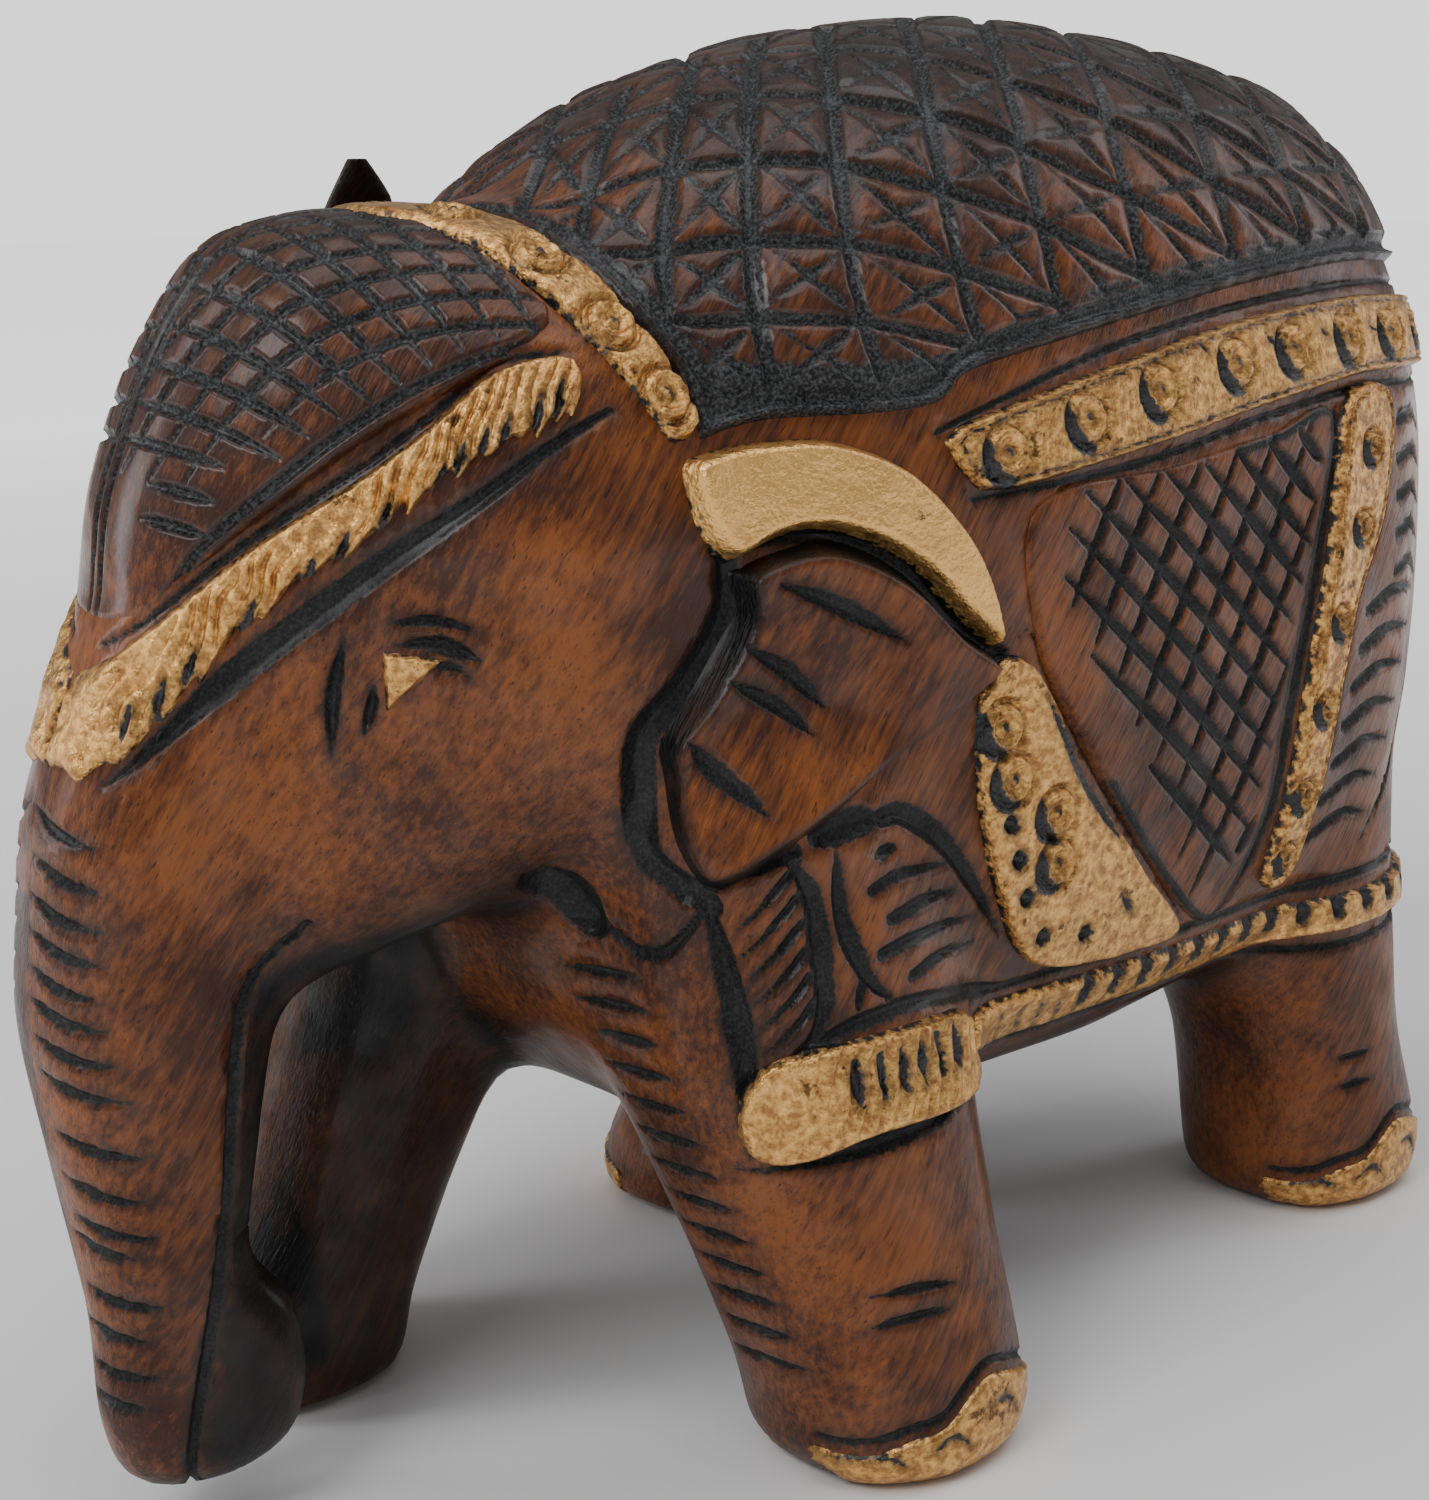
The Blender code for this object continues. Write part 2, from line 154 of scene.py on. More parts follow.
BROW_BAND = [
    (-45.2, 102.2), (-50.9, 101.4), (-56.6, 97.2), (-61, 93.9), (-65.8, 90.6), (-70.5, 86.9),
    (-75.2, 82.4), (-78.8, 78.4), (-81, 75.5), (-90, 72), (-90, 68), (-79.4, 72.5), (-76.4, 76),
    (-73, 80), (-70.2, 83), (-66.1, 86.6), (-62.7, 89.2), (-57.8, 93), (-53.4, 96), (-46.6, 98.9),
]
CAP = [
    (-45.4, 105.4), (-54.8, 100.4), (-62, 96.2), (-69, 90.4), (-73.8, 85.8), (-78.2, 82), (-92, 79),
    (-92, 125), (-57.5, 125), (-53.8, 114.8), (-50.6, 113.4), (-47.9, 111.2), (-45.8, 107.6),
]
EYE = [(-61.4, 80.2), (-57.2, 79.3), (-61.2, 75.2)]
# The tail's is in (y, z).
TAIL = [
    (-2.8, 98.5), (2.8, 98.5), (2.3, 60), (3.2, 54), (2.6, 48), (0, 45.5), (-2.6, 48), (-3.2, 54),
    (-2.3, 60),
]
# Where the forelegs' shins are, in x, and the feet, in (x, y).
SHIN_X = {"fore_left": -24, "fore_right": -38}
FEET = {"fore_left": (-19.5, -30), "fore_right": (-54, 20.5), "hind_left": (60, -22), "hind_right": (8, 24)}

# The lower edge of the brow band, and the edge of the dark hollow behind the trunk.
BROW_LOW = [(-90, 70), (-80, 76), (-73, 82.6), (-66, 88.4), (-57, 94.8), (-45, 100.6)]
HOLLOW_EDGE = [(-76, 6), (-77.9, 10.5), (-76.1, 20.1), (-74.3, 28.9), (-72.7, 42.2), (-70.9, 51.6), (-67, 56)]
# The neck band's rear edge, drawn on at both ends.
COLLAR_REAR = [(-60, 130), *NECK_BAND[1:7], (-35.2, 90)]
# The cap's edge, in degrees on the skull chart.
CAP_EDGE = [(-40, 44), (-9, 44.5), (16, 45), (40, 41), (58, 34.5), (69, 27), (83, 21), (100, 16)]

# ------------------------------------------------------------------ settings


class CarvingSizes(bpy.types.PropertyGroup):
    """Depths and heights of the carving."""

    cut_depth: FloatProperty(
        name="Cut depth", description="Depth of every cut, next to its drawn depth",
        default=1.0, min=0, subtype="FACTOR",
    )
    cloth_lift: FloatProperty(
        name="Cloth height", description="How far the saddlecloth stands out",
        default=1.3 * MM, unit="LENGTH",
    )
    gilt_lift: FloatProperty(
        name="Gilding height", description="How far the gilded bands stand out",
        default=1.15 * MM, unit="LENGTH",
    )
    ear_lift: FloatProperty(
        name="Ear height", description="How far the ears stand out",
        default=3.0 * MM, unit="LENGTH",
    )


class Finishes(bpy.types.PropertyGroup):
    """Colours of the wood, stain and paint."""

    wood_light: FloatVectorProperty(
        name="Light wood", description="Where the stain is thin",
        default=(0.235, 0.068, 0.0125), subtype="COLOR",
    )
    wood_dark: FloatVectorProperty(
        name="Dark wood", description="Where the stain has gathered",
        default=(0.046, 0.0115, 0.0036), subtype="COLOR",
    )
    # The black stain's colour is also used for painted shade.
    stain: FloatVectorProperty(
        name="Black stain", description="Stain in the cuts",
        default=(0.0042, 0.0042, 0.0044), subtype="COLOR",
    )
    gold: FloatVectorProperty(
        name="Gold paint", description="Gold paint on the high places",
        default=(0.92, 0.53, 0.17), subtype="COLOR",
    )
    gold_low: FloatVectorProperty(
        name="Thin gold paint", description="Gold paint in the low places",
        default=(0.31, 0.13, 0.034), subtype="COLOR",
    )


class Studio(bpy.types.PropertyGroup):
    """The floor and the lights."""

    floor: FloatVectorProperty(
        name="Floor", description="Colour of the pale floor",
        default=(0.93, 0.93, 0.93), subtype="COLOR",
    )
    key: FloatProperty(name="Key light", description="Strength of the main light", default=1.9, min=0)


SETTINGS = {
    "elephant_carving": CarvingSizes,
    "elephant_finishes": Finishes,
    "elephant_studio": Studio,
}


def carving():
    return bpy.context.scene.elephant_carving


def finishes():
    return bpy.context.scene.elephant_finishes


def studio():
    return bpy.context.scene.elephant_studio


# ------------------------------------------------------------------ measuring


def ease(t):
    """0 up to 0 and 1 from 1 on, with a soft start and end."""
    t = np.clip(t, 0, 1)
    return t * t * (3 - 2 * t)


def past(value, start, reach):
    """0 up to start, rising to 1 a reach further on. A negative reach looks the other way."""
    return ease((value - start) / reach)


def along_line(line, x):
    """The second number of the broken line, where its first is x."""
    firsts, seconds = np.array(sorted(line), float).T
    return np.interp(x, firsts, seconds)


def curve_through(points, step=0.8, closed=False):
    """A smooth curve through the points, as an array of points about step apart."""
    p = np.array(points, float)
    if len(p) == 2 and not closed:
        n = max(2, ceil(np.linalg.norm(p[1] - p[0]) / step) + 1)
        return p[0] + (p[1] - p[0]) * np.linspace(0, 1, n)[:, None]
    if closed:
        p = np.vstack([p[-1:], p, p[:2]])
    else:
        p = np.vstack([2 * p[0] - p[1], p, 2 * p[-1] - p[-2]])
    made = []
    for a, b, c, d in zip(p, p[1:], p[2:], p[3:]):
        n = max(1, ceil(np.linalg.norm(c - b) / step))
        t = np.linspace(0, 1, n, endpoint=False)[:, None]
        bend, twist = 2 * a - 5 * b + 4 * c - d, 3 * b - a - 3 * c + d
        made.append(0.5 * (2 * b + (c - a) * t + bend * t**2 + twist * t**3))
    return np.vstack(made if closed else [*made, p[-2:-1]])


def to_segments(points, starts, ends):
    """For each point, its distance to each segment, and how far along the segment the nearest place is."""
    along = ends - starts
    t = ((points[:, None] - starts) * along).sum(-1) / np.maximum((along**2).sum(-1), 1e-9)
    t = np.clip(t, 0, 1)
    return np.linalg.norm(points[:, None] - starts - along * t[..., None], axis=-1), t


def inside(outline, flat, sharp=False):
    """How far each flat point is inside the closed outline, in mm, and negative outside it."""
    starts = np.array(outline, float) if sharp else curve_through(outline, 1.5, closed=True)
    ends = np.roll(starts, -1, axis=0)
    rise = np.where(ends[:, 1] == starts[:, 1], 1, ends[:, 1] - starts[:, 1])
    found = np.empty(len(flat))
    for i in range(0, len(flat), CHUNK):
        p = flat[i : i + CHUNK]
        distance = to_segments(p, starts, ends)[0].min(1)
        x, z = p[:, :1], p[:, 1:]
        spans = (starts[:, 1] > z) != (ends[:, 1] > z)
        left_of = x < starts[:, 0] + (ends[:, 0] - starts[:, 0]) * (z - starts[:, 1]) / rise
        found[i : i + CHUNK] = np.where((spans & left_of).sum(1) % 2, distance, -distance)
    return found


def waviness(points, size, seed=0.0):
    """A gentle, repeatable unevenness between -1 and 1, as a hand-worked surface has."""
    x, y, z = (points / size + seed).T
    wave = np.sin(x * 1.7 + 1.3 * np.sin(y * 1.1)) + np.sin(z * 1.9 + 1.7 * np.sin(x * 0.9))
    return (wave + np.sin(y * 2.3 + 1.1 * np.sin(z * 1.3))) / 3


# ------------------------------------------------------------------ meshes and objects


def mesh_of(name, bm):
    """Turns a bmesh into a mesh, and lets the bmesh go."""
    mesh = bpy.data.meshes.new(name)
    bm.to_mesh(mesh)
    bm.free()
    return mesh


def add_to_scene(name, data):
    made = bpy.data.objects.new(name, data)
    bpy.context.scene.collection.objects.link(made)
    return made


def packed_node(name):
    """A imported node's mesh, drawn in mm, with its doubles merged."""
    bm = bmesh.new()
    bm.from_mesh(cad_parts[name].data)
    bmesh.ops.remove_doubles(bm, verts=bm.verts, dist=MERGED * MM)
    bmesh.ops.transform(bm, matrix=Matrix.Scale(1 / MM, 4) @ Matrix.Translation(-ORIGIN), verts=bm.verts)
    return bm


def coordinates(bm):
    return np.array([v.co for v in bm.verts], float).reshape(-1, 3)


def normals(bm):
    bm.normal_update()
    return np.array([v.normal for v in bm.verts], float).reshape(-1, 3)


def place(bm, points):
    for v, p in zip(bm.verts, points):
        v.co = p


def soften(bm, rounds, factor):
    for _ in range(rounds):
        bmesh.ops.smooth_vert(
            bm, verts=bm.verts, factor=factor, use_axis_x=True, use_axis_y=True, use_axis_z=True
        )


def record_on(bm, name, values):
    """Leaves a number on every point, for the finishes to read."""
    layer = bm.verts.layers.float.get(name) or bm.verts.layers.float.new(name)
    for v, value in zip(bm.verts, values):
        v[layer] = value


def to_object(name, node, bm, coat):
    """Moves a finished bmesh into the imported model's frame, as a piece that stands for the node."""
    if not bm.faces:
        raise RuntimeError(f"{name} has no faces")
    bmesh.ops.transform(bm, matrix=Matrix.Translation(ORIGIN) @ Matrix.Scale(MM, 4), verts=bm.verts)
    for face in bm.faces:
        face.smooth = True
    mesh = mesh_of(name, bm)
    mesh.materials.append(finish(coat))
    made = add_to_scene(name, mesh)
    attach(made, "root")
    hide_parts(node)


def smoothed_block(voxel, finer):
    """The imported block, drawn in mm, as an evenly meshed, smooth surface."""
    rough = add_to_scene("rough", mesh_of("rough", packed_node("carved_block")))
    even = rough.modifiers.new("even", "REMESH")
    even.mode, even.voxel_size = "VOXEL", voxel
    smoother = rough.modifiers.new("smoother", "SMOOTH")
    smoother.factor, smoother.iterations = 0.5, 14
    if finer:
        rounder = rough.modifiers.new("rounder", "SUBSURF")
        rounder.levels = rounder.render_levels = 1
    bm = bmesh.new()
    bm.from_object(rough, bpy.context.evaluated_depsgraph_get())
    bpy.data.objects.remove(rough)
    return bm


@cache
def smooth_seat():
    """The smooth block that everything is drawn on."""
    bm = smoothed_block(1.6, finer=True)
    seat = BVHTree.FromBMesh(bm)
    bm.free()
    return seat


# ------------------------------------------------------------------ drawing on the block

NECK_PIVOT = Vector((-38, 0, 0))
HEAD = Matrix.Translation(NECK_PIVOT) @ Matrix.Rotation(-radians(6), 4, "Z") @ Matrix.Translation(-NECK_PIVOT)
UNTURN = np.array(HEAD.inverted())
SKULL = Vector((-52, 0, 82))
BARREL_Z, BARREL_END, BARREL_BEND = 75, 62, 40


class Chart:
    """A way to draw on the block. A pair of numbers gives a ray that comes in from outside, and flat()
    gives back the (x, z) in which an outline is drawn, or for the tail (y, z)."""

    def __init__(self, ray, flat):
        self.ray, self.flat = ray, flat

    def hit(self, a, b):
        """Where the ray meets the block, or None."""
        return smooth_seat().ray_cast(*self.ray(a, b))[0]


def unturned(points):
    """The points as they would lie if the head looked straight ahead."""
    return points @ UNTURN[:3, :3].T + UNTURN[:3, 3]


def in_world(points):
    return points[:, [0, 2]]


def in_head(points):
    return unturned(points)[:, [0, 2]]


def side_chart(side):
    """Numbers are x and z, seen square to the side."""
    return Chart(lambda x, z: (Vector((x, side * FAR, z)), Vector((0, -side, 0))), in_world)


def cheek_chart(side):
    """The same on the turned head."""
    turn = HEAD.to_3x3() @ Vector((0, -side, 0))
    return Chart(lambda x, z: (HEAD @ Vector((x, side * FAR, z)), turn), in_head)


def front_chart():
    """Numbers are y and z, seen from the front."""
    return Chart(lambda y, z: (Vector((-FAR, y, z)), Vector((1, 0, 0))), in_world)


def face_chart():
    """The same on the turned head."""
    turn = HEAD.to_3x3() @ Vector((1, 0, 0))
    return Chart(lambda y, z: (HEAD @ Vector((-FAR, y, z)), turn), in_head)


def rear_chart():
    """Numbers are y and z, seen from behind."""
    return Chart(lambda y, z: (Vector((FAR, y, z)), Vector((-1, 0, 0))), lambda p: p[:, [1, 2]])


def skull_chart():
    """Numbers are degrees: forward from the crown, and down from the middle to the left side."""

    def ray(forward, down):
        f, d = radians(forward), radians(down)
        out = HEAD.to_3x3() @ Vector((-sin(f) * cos(d), -sin(d), cos(f) * cos(d)))
        return HEAD @ SKULL + out * FAR, -out

    return Chart(ray, in_head)


def barrel_chart():
    """Numbers are mm along the back, going round the rump at its end, and degrees down to the left side."""

    def ray(along, down):
        tilt = max(0.0, (along - BARREL_END) / BARREL_BEND)
        d = radians(down)
        out = Vector((sin(tilt), -sin(d) * cos(tilt), cos(d) * cos(tilt)))
        return Vector((min(along, BARREL_END), 0, BARREL_Z)) + out * FAR, -out

    return Chart(ray, in_world)


def on_barrel(points):
    """The barrel chart's numbers for points on the block."""
    x, y, z = points[:, 0], points[:, 1], points[:, 2] - BARREL_Z
    tilt = np.arctan2(np.maximum(x - BARREL_END, 0), np.hypot(y, z))
    return np.where(x > BARREL_END, BARREL_END + tilt * BARREL_BEND, x), np.degrees(np.arctan2(-y, z))


def on_seat(chart, places):
    """The places on the block for pairs of the chart's numbers."""
    return [hit for hit in (chart.hit(a, b) for a, b in places) if hit is not None]


# A cut's width along its length, as a share of its full width.
LENS = (0.12, 0.75, 1, 0.75, 0.12)
DRAWN_OUT = (0.8, 1, 0.8, 0.55, 0.12)
EVEN = (0.7, 1, 1, 1, 0.7)
NEEDLE = (0.3, 0.6, 0.9, 1, 0.15)
LONG_LENS = (0.35, 0.85, 1, 0.9, 0.25)


class Cut:
    """One stroke of a gouge, lying on the block. A place that leaps to another part, such as the leg
    behind, is left out."""

    def __init__(self, chart, points, width, shape=LENS, depth=0.7, step=0.8):
        flat, leap, kept = curve_through(points, step), 3 + 3 * step, []
        hits = [chart.hit(a, b) for a, b in flat]
        for i, hit in enumerate(hits):
            if hit is not None and not (kept and (hit - hits[kept[-1]]).length > leap):
                kept.append(i)
        self.points = np.array([hits[i] for i in kept], float).reshape(-1, 3)
        share = np.linspace(0, 1, len(flat))[kept]
        self.half = 0.5 * width * np.interp(share, np.linspace(0, 1, len(shape)), shape)
        self.depth = depth * carving().cut_depth


def bowl(gap, half):
    """The depth of a round-bottomed cut of that half width, as a share, where gap is its edge's distance."""
    return np.clip(-gap / half, 0, 1) ** 0.65


def carve(points, cuts):
    """(signed distance to the nearest cut's edge, depth of the cut there) for each point."""
    edge, depth = np.full(len(points), NOT_CUT), np.zeros(len(points))
    for stroke in cuts:
        if len(stroke.points) < 2:
            continue
        low, high = stroke.points.min(0) - NOT_CUT, stroke.points.max(0) + NOT_CUT
        near = np.flatnonzero(((points > low) & (points < high)).all(1))
        for i in range(0, len(near), CHUNK):
            rows = near[i : i + CHUNK]
            distance, t = to_segments(points[rows], stroke.points[:-1], stroke.points[1:])
            half = stroke.half[:-1] + (stroke.half[1:] - stroke.half[:-1]) * t
            gap = distance - half
            pick = np.arange(len(rows)), gap.argmin(1)
            gap, half = gap[pick], np.maximum(half[pick], 0.05)
            edge[rows] = np.minimum(edge[rows], gap)
            sunk = stroke.depth * bowl(gap, half) * np.clip(half / 0.5, 0.3, 1)
            depth[rows] = np.maximum(depth[rows], sunk)
    return edge, depth


# ------------------------------------------------------------------ the block

# Cuts in the bare wood: (points, width, shape), in mm.
CHEEK_CUTS = [
    ([(-61.4, 82.2), (-58, 82.6), (-54.2, 81.4)], 1.15, LENS),
    ([(-60.5, 80.6), (-57.4, 80.6), (-54.4, 79.0)], 1.7, LENS),
    ([(-58.6, 78.9), (-56.6, 78.7), (-55.2, 77.6)], 0.9, LENS),
    ([(-62, 77.5), (-62.2, 75.6), (-62.8, 73.2)], 1.3, LENS),
    ([(-63.8, 81.5), (-64.8, 76.6), (-65, 71.5)], 1.6, LENS),
    ([(-42.6, 98.6), (-47.5, 96.4), (-53.9, 92.1), (-59.8, 88), (-66.6, 82.6), (-73.7, 76.4),
      (-80.8, 70)], 2.7, NEEDLE),
    ([(-45.5, 103.2), (-50.9, 102.6), (-56.6, 98.6), (-61, 95.3), (-65.8, 92), (-70.5, 88.3), (-75.2, 84),
      (-79.4, 79.6)], 0.8, EVEN),
    ([(-46.4, 58), (-43.5, 56.2), (-41.6, 53.4)], 5.2, EVEN),
    ([(-41.2, 53.4), (-39.7, 51.4), (-38.2, 54.4), (-36.9, 58)], 1.5, DRAWN_OUT),
]
HOLLOW_CUTS = [
    ([(-66, 56.5), (-70.9, 51.6), (-72.7, 42.2), (-74.3, 28.9), (-76.1, 20.1), (-77.9, 10.5),
      (-77, 6)], 1.5, EVEN),
    ([(-73.6, 29), (-68, 28.6), (-62, 26)], 1.2, LENS),
]
FLANK_CUTS = [
    ([(-36, 87), (-36.6, 81), (-40.4, 75.6), (-43.8, 71.5), (-43.6, 66), (-42.8, 60.5),
      (-40, 56.5)], 3.2, EVEN),
    ([(-37, 86.6), (-33, 87.4), (-27.9, 87), (-20.7, 83.4), (-14, 77.4), (-9, 74.4)], 2.4, EVEN),
    ([(-41.4, 57.4), (-38.5, 60), (-34, 61)], 2.6, EVEN),
    ([(-31.5, 61.8), (-28, 62.4), (-25.4, 62.2)], 3.0, EVEN),
    ([(-23.9, 62.2), (-21, 61.9), (-16.1, 58.6), (-12, 54), (-6.9, 47.2)], 2.5, DRAWN_OUT),
    ([(-25, 59.1), (-23, 59.4)], 1.5, EVEN),
    ([(-26.2, 56.2), (-22, 56.8), (-13.6, 56)], 1.5, DRAWN_OUT),
    ([(-24, 53.2), (-19, 53.7), (-13, 53.2)], 1.7, DRAWN_OUT),
    ([(-25.6, 50.4), (-20, 50.8), (-10.7, 50.2)], 1.7, DRAWN_OUT),
    ([(-21.8, 47.5), (-17, 48.1), (-10.7, 47.6)], 1.6, DRAWN_OUT),
    ([(-35.5, 62.2), (-32.8, 57.2), (-32.2, 52.2), (-32.1, 46.9), (-34.3, 41.3)], 2.7, LENS),
    ([(-29.8, 61.2), (-29.7, 54.4), (-27.4, 48.8), (-24, 45.6)], 2.3, LENS),
    ([(-27.6, 49.6), (-28.9, 45.8)], 1.4, LENS),
    ([(-40.8, 59), (-39.4, 52), (-38.4, 44.8), (-37.9, 39.2), (-37.4, 33.2)], 2.9, LENS),
    ([(-34, 42.4), (-31.9, 44.1), (-27.7, 45.1), (-19.7, 44.9), (-5.5, 41.4)], 1.8, EVEN),
    ([(-38, 32), (-31.6, 33.6), (-19.8, 34.2), (-14, 35.6)], 2.2, LENS),
    ([(-30, 20.2), (-25.4, 20.2), (-20.6, 19.4)], 1.2, LENS),
    ([(-30.5, 17.2), (-26.7, 17.7), (-21.6, 17.5)], 1.2, LENS),
    ([(51, 19.2), (56.9, 19.3)], 1.1, LENS),
    ([(51.2, 15.7), (56.7, 16.1)], 1.1, LENS),
    ([(-8, 75.4), (-5.4, 76), (-2, 70), (6, 59.4), (15, 49.6), (22, 42)], 1.4, LENS),
    ([(-10.5, 41.6), (10, 41), (40, 40.6), (60, 40.6), (74, 42)], 1.3, EVEN),
    ([(-9, 33.8), (15, 33.4), (40, 33), (60, 33), (72, 34.4)], 1.0, EVEN),
    ([(-15.4, 94.8), (4, 100), (27, 103.4), (50, 104.6), (70, 103.4)], 0.9, EVEN),
    ([(-12, 88.8), (10, 90), (31, 92.8), (50, 94.2), (70, 93.2)], 1.0, EVEN),
    ([(42, 92), (38.8, 78), (35.4, 64), (33.6, 51), (29, 42)], 1.6, EVEN),
    ([(53.6, 93), (52.2, 82), (46.8, 72), (44.4, 62), (42.2, 51), (40.6, 43.6)], 1.2, EVEN),
    ([(70, 92), (72, 80), (70, 66), (62, 52), (54, 44)], 1.5, LENS),
]

# The inner ends of the notches down the front of the trunk, as (y, z) on the turned head.
TRUNK_NOTCHES = [
    (-7.3, 65), (-8.4, 61.3), (-8.2, 58.2), (-8.5, 55.3), (-8.5, 52.4), (-8.6, 49.9), (-9.1, 46.8),
    (-9.3, 43.7), (-9.7, 38.7), (-9.7, 34.6), (-9.9, 31.2), (-8.7, 29.5), (-9.4, 24.8), (-8.2, 21.6),
    (-8.6, 18), (-7.9, 15.2),
]

TOE_LINE = [
    (-15.5, 5.8), (-11, 5.9), (-8, 7.2), (-4.5, 8), (-1.5, 10.2), (1.5, 11.2), (6.5, 9.7), (11, 7.2),
]
LEG_TOP = 25
SHIN_CREASES = 13


def scroll_cuts():
    """The comb of short strokes behind the rear strap."""
    upper = [[(56, 90 - 4 * i), (61, 90.5 - 4 * i), (66, 88 - 4 * i)] for i in range(5)]
    lower = [
        [(50 - 1.2 * i, 70.5 - 4 * i), (56 - i, 72 - 4 * i), (64 - 1.4 * i, 71 - 4 * i)] for i in range(7)
    ]
    return [(points, 1.7, DRAWN_OUT) for points in upper + lower]


def feather_cuts():
    """The slanting strokes at the edge of the shoulder."""
    return [
        ([(-33 + 0.1 * i, 60.4 - 2.35 * i), (-35.4 + 0.3 * i, 58 - 2.35 * i),
          (-38.6 + 0.36 * i, 54.4 - 2.2 * i)], 1.15, NEEDLE[::-1])
        for i in range(8)
    ]


def on_both_sides(rows):
    return [(side, *row) for side in SIDES.values() for row in rows]


def leg_shift(side, start):
    """How far a cut on a left leg moves along the elephant to lie on the right one."""
    x, z = start
    if side == LEFT or z >= LEG_TOP:
        return 0
    leg = "fore" if x < 0 else "hind"
    return FEET[f"{leg}_right"][0] - FEET[f"{leg}_left"][0]


def block_cuts():
    """Every cut in the bare wood of the block."""
    cuts = []
    for side, points, width, shape in on_both_sides(CHEEK_CUTS):
        cuts.append(Cut(cheek_chart(side), points, width, shape, 0.8 if width < 4 else 1.6))
    cuts += [Cut(cheek_chart(LEFT), points, width, shape, 0.8) for points, width, shape in HOLLOW_CUTS]
    for side, points, width, shape in on_both_sides(FLANK_CUTS + scroll_cuts() + feather_cuts()):
        moved = [(x + leg_shift(side, points[0]), z) for x, z in points]
        cuts.append(Cut(side_chart(side), moved, width, shape, 0.9 if width > 2 else 0.7))
    for i in range(SHIN_CREASES):
        share = i / (SHIN_CREASES - 1)
        z, inner, outer = 49 - 36.5 * share, -12 - 11.5 * share, -22.4 - 11.5 * share
        cuts.append(Cut(front_chart(), [(inner, z - 1), (outer, z)], 1.25))
        cuts.append(Cut(front_chart(), [(20 + 2 * share, z - 1), (29 + 2 * share, z)], 1.25))
    for i, (y, z) in enumerate(TRUNK_NOTCHES):
        lean = 2.6 - 0.12 * i
        for tip, start in ((y, y + 8.2 - 0.1 * i), (-y, -y - 5.6)):
            points = [(start, z + lean), ((start + tip) / 2, z + lean * 0.35), (tip, z)]
            cuts.append(Cut(face_chart(), points, 1.35))
    for side in SIDES.values():
        beside_tail = [(side * 3.4, 97), (side * 3, 60), (side * 3.8, 53), (side * 2.6, 46)]
        cuts.append(Cut(rear_chart(), beside_tail, 1.2, EVEN))
    for foot_x, foot_y in FEET.values():
        side = LEFT if foot_y < 0 else RIGHT
        cuts.append(Cut(side_chart(side), [(foot_x + x, z) for x, z in TOE_LINE], 1.0, EVEN, 0.5))
    return cuts


def refine(bm, cuts, reaches):
    """Makes the mesh finer beside the cuts, once for each reach."""
    for reach in reaches:
        near = carve(coordinates(bm), cuts)[0] < reach
        bm.verts.index_update()
        chosen = [e for e in bm.edges if near[e.verts[0].index] and near[e.verts[1].index]]
        bmesh.ops.subdivide_edges(bm, edges=chosen, cuts=1, use_grid_fill=True)


def stain_and_shade(points, facing):
    """Painted shade and stain, from 0 to 1: painted shade under the belly and chin, on the trunk's rear face,
    inside the legs and on the far foreleg; black stain in the hollow behind the trunk.
    """
    x, y, z = points.T
    head_x, head_y, head_z = unturned(points).T
    # Painted shade: faces turned down, the legs' inner sides, the front of the far foreleg and the trunk's
    # rear face.
    under = past(-facing[:, 2], 0.35, 0.5) * (z > 6)
    inner = past(-facing[:, 1] * np.sign(y + 0.01), 0.1, 0.6) * (z < 62)
    far_leg = (y > 4) * (x < -34) * (z < 60) * past(facing[:, 0], 0.1, -0.5) * past(y, 24, -8)
    behind = past(facing[:, 0], 0.55, 0.3) * (x < -50) * (z < 60)
    # Black stain on the trunk's side behind the hollow's edge.
    hollow = past(head_x, along_line([(z, x) for x, z in HOLLOW_EDGE], head_z), 1.2)
    hollow = hollow * (x < -56) * (np.abs(head_y) < 12.5) * past(z, 55, -4) * past(z, 5.5, 2)
    # Painted shade in the throat, between the trunk and the forelegs.
    throat = 0.8 * past(x, -72, 4) * past(x, -44, -4) * past(z, 56, -5) * past(z, 34, 4) * (np.abs(y) < 15)
    return np.clip(under * 0.9 + np.maximum(inner, far_leg) * 0.75 + behind + hollow * 0.95 + throat, 0, 1)


def beds(points):
    """How far the block is sunk under the thin reliefs, so that their deepest cuts stay above it."""
    sunk, straight = np.zeros(len(points)), unturned(points)
    for outline, seen, reached in (
        (SIDE_PANEL, points, np.abs(points[:, 1]) > 15),
        (CAP, straight, straight[:, 2] > 78),
        (BROW_BAND, straight, (straight[:, 2] > 66) & (straight[:, 0] < -44)),
    ):
        rows = np.flatnonzero(reached)
        within = inside(outline, seen[rows][:, [0, 2]])
        sunk[rows] = np.maximum(sunk[rows], BED * past(within, 0.7, 0.8))
    return sunk


def carved_block():
    """The block with every cut, and sunk where the thin reliefs lie."""
    bm, cuts = smoothed_block(1.55, finer=False), block_cuts()
    refine(bm, cuts, (1.3, 0.55))
    points, facing = coordinates(bm), normals(bm)
    edge, depth = carve(points, cuts)
    place(bm, points - facing * np.maximum(depth, beds(points))[:, None])
    record_on(bm, "cut", edge)
    record_on(bm, "stain_and_shade", stain_and_shade(points, facing))
    to_object("carved_wood", "carved_block", bm, "oiled wood")


# ------------------------------------------------------------------ reliefs that stand on the block


